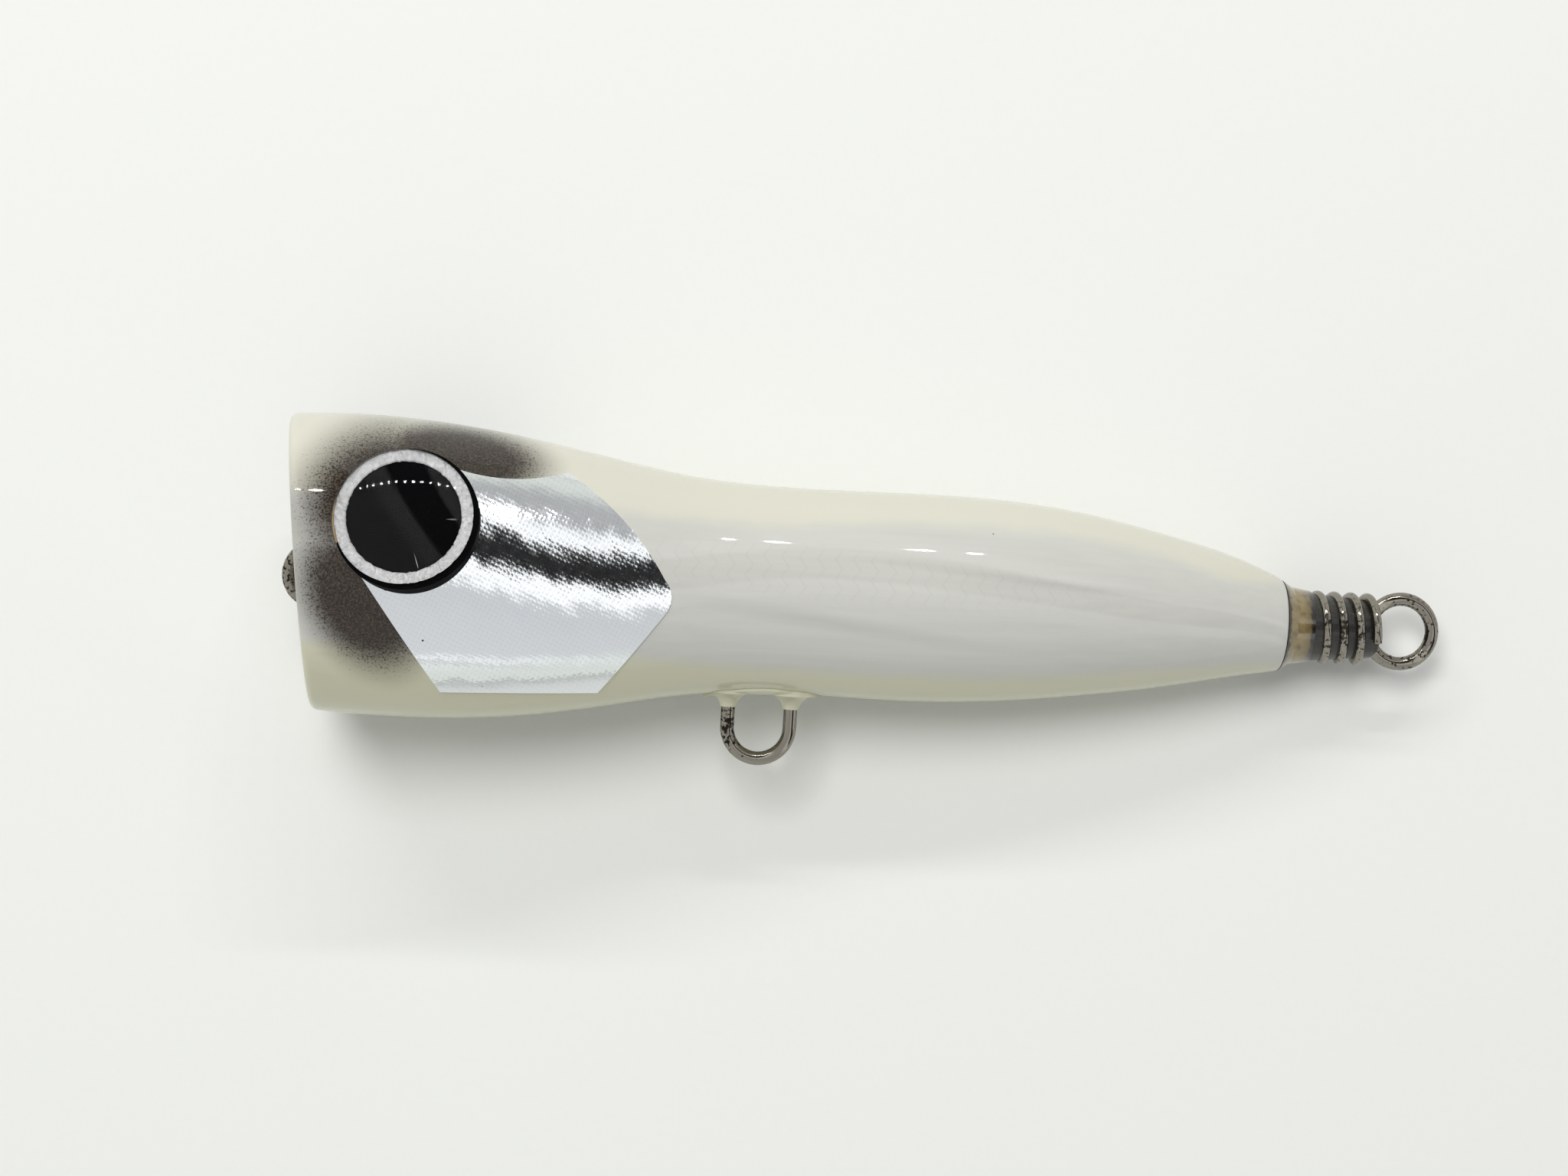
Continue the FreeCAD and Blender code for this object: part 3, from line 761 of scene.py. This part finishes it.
@dataclass(frozen=True)
class CastLead(Finish):
    """Cast lead slug: dull blue-grey with an oxide bloom. It is sealed inside the wood."""

    metal: str = "6B6F74"
    oxide: str = "8E9091"

    def paint(self, tree: Tree, where: Socket) -> dict:
        """Bloom in soft patches."""
        bloom = add_node(tree, NODE_NOISE, {"Scale": 0.8, "Detail": 4.0}, {"Vector": where})
        colour = add_node(tree, NODE_MIX, {**COLOUR, 6: linear(self.metal), 7: linear(self.oxide)},
                          {0: bloom}, out=2)
        return {"links": {"Base Color": colour}, "settings": {"Metallic": 1.0, "Roughness": 0.6}}


@dataclass(frozen=True)
class ScaleFilm(Finish):
    """Thin metallised film pressed with scales. It is sealed under the lacquer."""

    film: str = "C9C9C4"
    line: str = "9A9A95"
    scale_size: float = 2.3    # mm

    def paint(self, tree: Tree, where: Socket) -> dict:
        """Pressed scale cells."""
        cells = add_node(tree, NODE_CELLS, {"feature": "DISTANCE_TO_EDGE", "Scale": 1 / self.scale_size,
                                            "Randomness": 0.2}, {"Vector": where})
        edge = add_node(tree, NODE_RANGE, {"From Max": 0.08, "To Min": 1.0, "To Max": 0.0}, {"Value": cells})
        colour = add_node(tree, NODE_MIX, {**COLOUR, 6: linear(self.film), 7: linear(self.line)},
                          {0: edge}, out=2)
        return {"links": {"Base Color": colour}, "settings": {"Metallic": 0.9, "Roughness": 0.3}}


# ---- The lure's sub-assemblies ----

@dataclass
class LureBody:
    """The lacquered body: a shaped barrel with a slanted, cupped mouth and a small round tail end."""

    axes: LureAxes
    length: float = 131.0
    back: float = 21.0
    belly: float = 17.8
    width_ratio: float = 0.90
    rounding_power: float = 4.0
    tail_radius: float = 6.1
    lip_setback: float = 4.6
    lip_wall: float = 2.6
    lip_round: float = 1.1
    rim_round: float = 0.55
    cup_depth: float = 10.0
    cup_fullness: float = 1.6
    skin: float = 0.015        # kept this far inside the engineering solid
    segments: int = 128
    ring_gap: float = 1.9
    stations: tuple = (
        (-0.030, 0.965, 0.950), (0.053, 1.000, 0.989), (0.137, 0.986, 1.000), (0.229, 0.919, 0.961),
        (0.321, 0.814, 0.854), (0.397, 0.733, 0.747), (0.473, 0.698, 0.697), (0.611, 0.700, 0.705),
        (0.710, 0.690, 0.674), (0.802, 0.629, 0.596), (0.893, 0.510, 0.489), (0.962, 0.390, 0.388))

    def __post_init__(self) -> None:
        """Fits the curves of the back and the belly."""
        places = [x * self.length for x, _, _ in self.stations] + [self.length]
        self.back_at = spline(places, [b * self.back for _, b, _ in self.stations] + [self.tail_radius])
        self.belly_at = spline(places, [b * self.belly for _, _, b in self.stations] + [self.tail_radius])
        self.lip_tilt = math.atan2(self.lip_setback, self.back + self.belly)

    def wide_at(self, x: float, back: float, belly: float) -> float:
        """Half width of the section at x."""
        share = max(x / self.length, 0.0)
        return (self.width_ratio + (1 - self.width_ratio) * share ** self.rounding_power) * (back + belly) / 2

    def section(self, x: float, tilt: float = 0.0, grow: float = 0.0) -> Ring:
        """Section through the wire axis at x.

        Args:
            x: where the section's plane crosses the wire axis.
            tilt: the plane's lean towards the nose at the top.
            grow: added to the half sizes all round.

        Returns:
            The section's ring.
        """
        lean = math.tan(tilt)
        back, belly = self.back_at(x), self.belly_at(x)
        for _ in range(6):
            back, belly = self.back_at(x - back * lean), self.belly_at(x + belly * lean)
        middle = (back - belly) / 2
        centre_x = x - middle * lean
        wide = self.wide_at(centre_x, self.back_at(centre_x), self.belly_at(centre_x))
        extra = grow - self.skin
        return Ring(centre_x, middle, (back + belly) / 2 / math.cos(tilt) + extra, wide + extra, tilt)

    def blank(self, name: str, first: float, last: float, grow: float) -> Piece:
        """Plain barrel between two places, grown all round, for cutting other pieces."""
        count = int((last - first) / (self.ring_gap * 0.8))
        places = [first + (last - first) * i / count for i in range(count + 1)]
        work = RingWork(name, self.section(places[0], 0.0, grow), self.segments * 2)
        return work.add(*[self.section(x, 0.0, grow) for x in places[1:]]).finish(pole=False)

    def _lip_ring(self, lip: Ring, deep: float, inset: float) -> Ring:
        """Ring in the lip's own slant, deep behind its plane and inset from its edge."""
        x = self.back * math.tan(self.lip_tilt) + deep / math.cos(self.lip_tilt)
        centre_x = x - lip.y * math.tan(self.lip_tilt)
        return Ring(centre_x, lip.y, lip.high - inset, lip.wide - inset, self.lip_tilt)

    def rings(self) -> list[Ring]:
        """All rings from the tail's cap round the lip and into the cup."""
        edge = 0.35
        tail = self.section(self.length)
        made = [Ring(self.length, 0.0, tail.high - edge, tail.wide - edge),
                Ring(self.length - edge * 0.3, 0.0, tail.high - edge * 0.3, tail.wide - edge * 0.3)]
        x = self.length - edge
        lip_x = self.back * math.tan(self.lip_tilt) + self.lip_round / math.cos(self.lip_tilt)
        count = int((x - lip_x) / self.ring_gap)
        for i in range(count + 1):
            here = x + (lip_x - x) * i / count
            near = max(0.0, 1 - (here - lip_x) / 34.0)
            made.append(self.section(here, self.lip_tilt * near * near * (3 - 2 * near)))
        lip = made[-1]
        for angle in (18, 36, 54, 72, 90):
            sin, cos = math.sin(math.radians(angle)), math.cos(math.radians(angle))
            made.append(self._lip_ring(lip, self.lip_round * (1 - sin), self.lip_round * (1 - cos)))
        for angle in (0, 30, 60, 90):
            sin, cos = math.sin(math.radians(angle)), math.cos(math.radians(angle))
            flat = self.lip_wall - self.rim_round
            made.append(self._lip_ring(lip, self.rim_round * (1 - cos), flat + self.rim_round * sin))
        half_x = self.cup_fullness * self.cup_depth
        ahead = half_x - self.cup_depth
        start = math.asin((ahead + self.rim_round) / half_x)
        rim = made[-1]
        for i in range(1, 14):
            angle = start + (math.pi / 2 - start) * i / 14
            share = math.cos(angle) / math.cos(start)
            made.append(self._lip_ring(rim, half_x * math.sin(angle) - ahead, 0.0))
            made[-1] = Ring(made[-1].x, rim.y, rim.high * share, rim.wide * share, self.lip_tilt)
        return made

    def build(self, sockets: Sequence[Piece]) -> Piece:
        """Shapes the body and sinks the eye sockets.

        Args:
            sockets: cutting tools for the two eyes.

        Returns:
            The body, in the row frame.
        """
        rings = self.rings()
        piece = RingWork("lacquered_body", rings[0], self.segments).add(*rings[1:]).finish()
        apply_modifier(piece, "SUBSURF", levels=1, render_levels=1)
        for socket in sockets:
            cut(piece, socket)
        close_up(piece, 38.0)
        self.axes.place(piece)
        return piece

    def dress(self, piece: Piece, finish: bpy.types.Material) -> None:
        """Gives the body its lacquer and its place in the frame."""
        piece.data.materials.append(finish)
        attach(piece, "root")
        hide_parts("body_lacquer")


@dataclass
class DomedEye:
    """One side's eye: crumpled foil, black disc and clear dome on a black rim set a little off centre; the
    rim stands for the eye's dark side wall, and its wider crescent is painted shadow of the raised eye.
    """

    axes: LureAxes
    radius: float = 8.75
    cant: float = 19.0
    toe: float = 7.0
    seat: float = 2.5
    foil: float = 0.3
    pupil_radius: float = 7.2
    pupil: float = 0.12
    rim: float = 0.5
    rise: float = 1.5
    foil_top: float = 2.5
    dark_rim_top: float = 2.6
    dark_rim_radius: float = 9.15
    # The rim's shift makes a black crescent on one side: painted shadow of the raised eye.
    crescent_shadow_shift: tuple[float, float] = (-0.24, -0.32)
    skin: float = 0.012
    segments: int = 192

    def __post_init__(self) -> None:
        """Finds the left eye's seat from the engineering model's foil disc."""
        low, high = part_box("eye_foil_left")
        middle = self.axes.matrix().inverted() @ ((Vector(low) + Vector(high)) / 2)
        turn = (Matrix.Rotation(math.radians(-self.toe), 4, "Y")
                @ Matrix.Rotation(math.radians(-self.cant), 4, "X"))
        out_along_x = Matrix.Rotation(math.radians(-90), 4, "Y")
        self.frame = (Matrix.Translation(middle) @ turn @ out_along_x
                      @ Matrix.Translation((-self.foil / 2, 0, 0)))

    def place(self, piece: Piece, side: Side) -> Piece:
        """Moves a piece modelled along X onto one side's seat."""
        bake_place(piece, Matrix.Scale(side.value, 4, (0, 0, 1)) @ self.frame)
        close_up(piece)
        return piece

    def socket(self, side: Side) -> Piece:
        """Cutting tool for the flat-bottomed seat that takes the black rim."""
        work = RingWork("socket", self._dark_rim(0.0, 0.01), self.segments)
        return self.place(work.add(self._dark_rim(20.0, 0.01)).finish(pole=False), side)

    def _dark_rim(self, x: float, grow: float = 0.0) -> Ring:
        """Section of the black rim that shows beside the dome, off centre as painted shadow of the raised
        eye.
        """
        radius = self.dark_rim_radius + grow
        return Ring(x, self.crescent_shadow_shift[0], radius, radius, 0.0, self.crescent_shadow_shift[1])

    def _foil(self) -> Piece:
        """Foil with a crumpled face, raised to just under the dome, where the resin makes it seem to lie."""
        work = RingWork("foil", Ring(0.0, 0.0, self.radius - 0.05, self.radius - 0.05), self.segments)
        for step in range(7):
            radius = self.radius - 0.05 - 0.42 * step
            work.add(Ring(self.foil_top, 0.0, radius, radius)).roughen(0.05, 11 + step, flat=False)
        return work.finish()

    def _pupil(self) -> Piece:
        """Black disc with a slightly ragged printed edge."""
        low, high, radius = self.foil_top - 0.02, self.foil_top + self.pupil, self.pupil_radius
        work = RingWork("pupil", Ring(low, 0.0, radius, radius), self.segments)
        work.roughen(0.10, 5).add(Ring(high, 0.0, radius, radius),
                                  Ring(high, 0.0, radius * 0.5, radius * 0.5))
        return work.finish()

    def _lens(self) -> Piece:
        """Dome on its black rim, partly painted shadow; it closes over the foil with no air between."""
        outer = self.radius - self.skin
        shoulder = self.seat + self.rim
        ball = (outer ** 2 + self.rise ** 2) / (2 * self.rise)
        work = RingWork("lens", self._dark_rim(self.foil - 0.04), self.segments)
        work.add(self._dark_rim(self.dark_rim_top), Ring(self.dark_rim_top + 0.03, 0.0, outer, outer),
                 Ring(shoulder - 0.12, 0.0, outer, outer),
                 Ring(shoulder - 0.03, 0.0, outer - 0.03, outer - 0.03))
        for step in range(1, 15):
            radius = (outer - 0.12) * (1 - step / 15) if step > 1 else outer - 0.12
            height = shoulder + self.rise - self.skin - (ball - math.sqrt(ball ** 2 - radius ** 2))
            work.add(Ring(height, 0.0, radius, radius))
        return work.finish()

    def build(self, side: Side) -> dict[str, Piece]:
        """Builds one eye's three pieces in the row frame."""
        made = {"foil": self._foil(), "pupil": self._pupil(), "lens": self._lens()}
        for name, piece in made.items():
            self.place(piece, side)
            self.axes.place(piece)
            close_up(piece, 30.0)
            piece.name = piece.data.name = f"eye_{name}_{side.name.lower()}_dressed"
        return made

    def dress(self, made: dict[str, Piece], side: Side, finishes: dict[str, bpy.types.Material]) -> None:
        """Gives the pieces their finishes; the lens is black up to its shoulder, as the eye's dark side wall
        and painted shadow beside it.
        """
        for name, piece in made.items():
            piece.data.materials.append(finishes[name])
            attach(piece, "root")
            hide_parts(f"eye_{name}_{side.name.lower()}")
        lens = made["lens"]
        # Black ink on the rim and the wall below the shoulder: the eye's dark wall, and painted shadow where
        # the rim reaches out on one side.
        lens.data.materials.append(finishes["pupil"])
        back = (self.axes.matrix() @ Matrix.Scale(side.value, 4, (0, 0, 1)) @ self.frame).inverted()
        for face in lens.data.polygons:
            if (back @ face.center).x < self.seat + self.rim - 0.1:
                face.material_index = 1


@dataclass
class CheekPlate:
    """Kite-shaped mirror foil plate on the head's side, cut away under the eye."""

    axes: LureAxes
    body: LureBody
    eye: DomedEye
    thickness: float = 0.2
    arc_steps: int = 14

    def outline(self) -> list[Vector]:
        """The plate's outline seen square from the side."""
        front, chin, heel = Vector((10.2, 1.9, 0)), Vector((21.1, -13.3, 0)), Vector((41.1, -12.7, 0))
        rear_low, rear_high = Vector((48.9, -1.8, 0)), Vector((48.6, 2.6, 0))
        crest, brow = Vector((35.8, 15.3, 0)), Vector((22.1, 15.0, 0))
        points = [front, chin, heel, rear_low]
        points += arc_points(rear_low, Vector((49.6, 0.3, 0)), rear_high, 6)
        points += arc_points(rear_high, Vector((42.9, 9.9, 0)), crest, self.arc_steps)
        points += arc_points(crest, Vector((29.0, 14.2, 0)), brow, self.arc_steps)
        return points

    def _prism(self, low: float, high: float) -> Piece:
        """The outline drawn point by point and pulled out to a solid."""
        corners = self.outline()
        bpy.ops.object.select_all(action="DESELECT")
        bpy.ops.mesh.primitive_plane_add(size=1.0)
        bpy.ops.object.mode_set(mode="EDIT")
        bpy.ops.mesh.select_all(action="SELECT")
        bpy.ops.mesh.merge(type="CENTER")
        bpy.ops.transform.translate(value=corners[0] + Vector((0, 0, low)))
        for here, there in zip(corners, corners[1:]):
            bpy.ops.mesh.extrude_vertices_move(TRANSFORM_OT_translate={"value": there - here})
        bpy.ops.object.mode_set(mode="OBJECT")
        tool = bpy.context.object
        for vertex in tool.data.vertices:
            vertex.select = vertex.index in (0, len(corners) - 1)
        bpy.ops.object.mode_set(mode="EDIT")
        bpy.ops.mesh.edge_face_add()
        bpy.ops.mesh.select_all(action="SELECT")
        bpy.ops.mesh.edge_face_add()
        bpy.ops.mesh.extrude_region_move(TRANSFORM_OT_translate={"value": (0, 0, high - low)})
        bpy.ops.object.mode_set(mode="OBJECT")
        close_up(tool)
        return tool

    def build(self) -> Piece:
        """Builds the left plate in the lure's millimetres."""
        piece = self.body.blank("plate", 6.0, 54.0, self.thickness)
        cut(piece, self._prism(4.0, 40.0), "INTERSECT")
        cut(piece, self.body.blank("inner", 4.0, 56.0, 0.0))
        cut(piece, self.eye.socket(Side.LEFT))
        close_up(piece, 30.0)
        return piece

    def dress(self, left: Piece, finish: bpy.types.Material) -> None:
        """Mirrors the plate and gives both their foil."""
        for side in Side:
            name = f"cheek_plate_{side.name.lower()}"
            piece = copy_of(left, name + "_dressed")
            bake_place(piece, Matrix.Scale(side.value, 4, (0, 0, 1)))
            self.axes.place(piece)
            close_up(piece, 30.0)
            piece.data.materials.append(finish)
            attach(piece, "root")
            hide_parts(name)
        bpy.data.objects.remove(left)


# ---- Studio ----

@dataclass
class Studio:
    """Pale floor, soft key light, a bright room with a dark gap, a row of small lamps, and the camera."""

    axes: LureAxes
    aim: tuple[float, float] = (65.0, 1.43)
    distance: float = 0.45
    field: float = 0.2048
    roll: float = 3.04
    sensor: float = 36.0
    floor_radius: float = 4.0
    floor_colour: str = "F1F2EE"
    lamp_count: int = 13
    lamp_gap: float = 0.1
    lamp_size: float = 0.035
    lamp_power: float = 5.0
    key_power: float = 8.6
    room_fill: float = 0.48    # room strength for matt surfaces, which the key light fills up
    key_size: float = 0.6
    key_place: tuple[float, float, float] = (-0.22, 0.42, 1.2)

    def floor(self) -> None:
        """Large round pale sheet under the lure."""
        bpy.ops.object.select_all(action="DESELECT")
        bpy.ops.mesh.primitive_circle_add(vertices=96, radius=self.floor_radius, fill_type="NGON")
        sheet = bpy.context.object
        sheet.name = "floor"
        made = bpy.data.materials.new("MattPaper")
        made.use_nodes = True
        tree = made.node_tree
        tree.nodes.clear()
        grain = add_node(tree, NODE_NOISE, {"Scale": 900.0, "Detail": 2.0},
                         {"Vector": add_node(tree, "ShaderNodeTexCoord", out=3)})
        tone = add_node(tree, NODE_MIX, {**COLOUR, 6: linear("EFF0EC"), 7: linear(self.floor_colour)},
                        {0: grain}, out=2)
        surface = add_node(tree, "ShaderNodeBsdfPrincipled", {"Roughness": 0.8, "Specular IOR Level": 0.2},
                           {"Base Color": tone})
        add_node(tree, "ShaderNodeOutputMaterial", links={"Surface": surface})
        sheet.data.materials.append(made)

    def room(self) -> None:
        """Room light by direction: pale low down, and a dark gap between bright strips overhead."""
        world = bpy.data.worlds.new("room")
        bpy.context.scene.world = world
        world.use_nodes = True
        tree = world.node_tree
        tree.nodes.clear()
        parts = add_node(tree, NODE_SPLIT, links={0: add_node(tree, "ShaderNodeTexCoord")}).node
        slant = add_node(tree, NODE_MATH, {"operation": "MULTIPLY_ADD", 1: 1.2},
                         {0: parts.outputs[0], 2: parts.outputs[1]})
        across = add_node(tree, NODE_RANGE, {"From Min": -1.562, "From Max": 1.562}, {"Value": slant})
        back = add_node(tree, NODE_RANGE, {"From Min": -1.0, "From Max": 1.0}, {"Value": parts.outputs[1]})

        def stop(place: float, value: float, warm: float = 0.0) -> tuple[float, tuple]:
            """One stop of a ramp: a share of the direction from -1 to 1, and brightness."""
            return (place + 1) / 2, (value * (1 + warm), value, value * (1 - warm), 1.0)

        bands = add_node(tree, NODE_RAMP, {"stops": [
            stop(-1, 0.92), stop(-0.1, 0.80, -0.015), stop(0.07, 0.76, -0.015), stop(0.12, 1.35),
            stop(0.25, 1.45), stop(0.29, 0.02), stop(0.55, 0.02), stop(0.58, 1.5), stop(0.66, 1.3),
            stop(0.72, 0.5), stop(1, 0.7)]},
            {0: across})
        edge = add_node(tree, NODE_RAMP, {"stops": [
            stop(-1, 1.35), stop(-0.955, 1.35), stop(-0.945, 0.65), stop(-0.935, 0.65), stop(-0.925, 1.5),
            stop(-0.91, 1.5), stop(-0.89, 1.0), stop(1, 1.0)]}, {0: back})
        both = add_node(tree, NODE_MIX, {**COLOUR, "blend_type": "MULTIPLY", 0: 1.0},
                        {6: bands, 7: edge}, out=2)
        high = add_node(tree, NODE_RANGE, {**SMOOTH, "From Min": 0.12, "From Max": 0.42},
                        {"Value": parts.outputs[2]})
        light = add_node(tree, NODE_MIX, {**COLOUR, 6: (0.90, 0.935, 0.87, 1.0)}, {0: high, 7: both}, out=2)
        diffuse = add_node(tree, "ShaderNodeLightPath", out=2)
        strength = add_node(tree, NODE_RANGE, {"To Min": 0.95, "To Max": self.room_fill}, {"Value": diffuse})
        glow = add_node(tree, "ShaderNodeBackground", links={"Color": light, "Strength": strength})
        add_node(tree, "ShaderNodeOutputWorld", links={"Surface": glow})

    def lamps(self) -> None:
        """Row of small lamps above the back, which show as a string of dots in the eye."""
        aim = self.axes.point(*self.aim)
        for index in range(self.lamp_count):
            across = (index - (self.lamp_count - 1) / 2) * self.lamp_gap
            spot = aim + Vector((across - 0.25, 1.0, 0.86))
            bpy.ops.object.light_add(type="AREA", location=spot)
            lamp = bpy.context.object
            lamp.data.shape, lamp.data.size = "DISK", self.lamp_size
            lamp.data.energy = self.lamp_power / self.lamp_count
            lamp.rotation_euler = (aim - spot).to_track_quat("-Z", "Y").to_euler()

    def key(self) -> None:
        """Large soft lamp over the back, which throws the shadow to the belly side and shows in no gloss."""
        aim = self.axes.point(*self.aim)
        spot = aim + Vector(self.key_place)
        bpy.ops.object.light_add(type="AREA", location=spot)
        lamp = bpy.context.object
        lamp.data.shape, lamp.data.size, lamp.data.energy = "DISK", self.key_size, self.key_power
        lamp.rotation_euler = (aim - spot).to_track_quat("-Z", "Y").to_euler()
        lamp.visible_glossy = False

    def camera(self) -> None:
        """Camera straight above the lure's side."""
        aim = self.axes.point(*self.aim)
        bpy.ops.object.camera_add(location=aim + Vector((0, 0, self.distance)),
                                  rotation=(0, 0, math.radians(self.roll)))
        lens = bpy.context.object.data
        lens.sensor_width = self.sensor
        lens.lens = self.sensor * self.distance / self.field
        lens.clip_start, lens.clip_end = 0.01, 50.0
        bpy.context.scene.camera = bpy.context.object

    def build(self) -> None:
        """Sets the whole stage."""
        self.camera()
        self.floor()
        self.room()
        self.lamps()
        self.key()
        bpy.context.scene.view_settings.view_transform = "Standard"


def dress_nodes(nodes: dict[str, Piece], finishes: dict[str, bpy.types.Material]) -> None:
    """Gives the engineering model's own pieces their finishes.

    Args:
        nodes: the frame's nodes by name.
        finishes: a material for each node that stays, by the start of its name.
    """
    for name, piece in nodes.items():
        for start, finish in finishes.items():
            if name.startswith(start):
                piece.data.materials.clear()
                piece.data.materials.append(finish)
                log.info("dressed %s in %s", name, finish.name)


def main() -> None:
    """Builds the lure's looks and its stage."""
    logging.basicConfig(level=logging.INFO, format="%(name)s: %(message)s")
    axes = LureAxes.from_mounts(frame["record"]["mounts"], nose_eye_x=4.5)
    lacquer = PearlLacquer(axes).material()
    black = PrintedBlack(axes).material()
    foil = SilverFoil(axes).material()
    body = LureBody(axes)
    eye = DomedEye(axes)

    shell = body.build([eye.socket(side) for side in Side])
    body.dress(shell, lacquer)
    log.info("body: %d faces", len(shell.data.polygons))
    for side in Side:
        made = eye.build(side)
        eye.dress(made, side, {"foil": foil, "pupil": black, "lens": CastLens(axes).material()})
        log.info("%s eye: %d pieces", side.name.lower(), len(made))
    plate = CheekPlate(axes, body, eye)
    plate.dress(plate.build(), MirrorFoil(axes).material())
    log.info("cheek plates done")
    dress_nodes(frame["nodes"], {
        "core": SawnWood(axes).material(), "ballast": CastLead(axes).material(),
        "side_film": ScaleFilm(axes).material(), "through_wire": DrawnSteel(axes).material(),
        "tail_binding": BindingSteel(axes).material(), "tail_collar": AmberResin(axes).material(),
        "tail_resin": DarkResin(axes).material(), "nose_resin": lacquer, "hanger_resin": lacquer})
    Studio(axes).build()


if __name__ == "__main__":
    main()
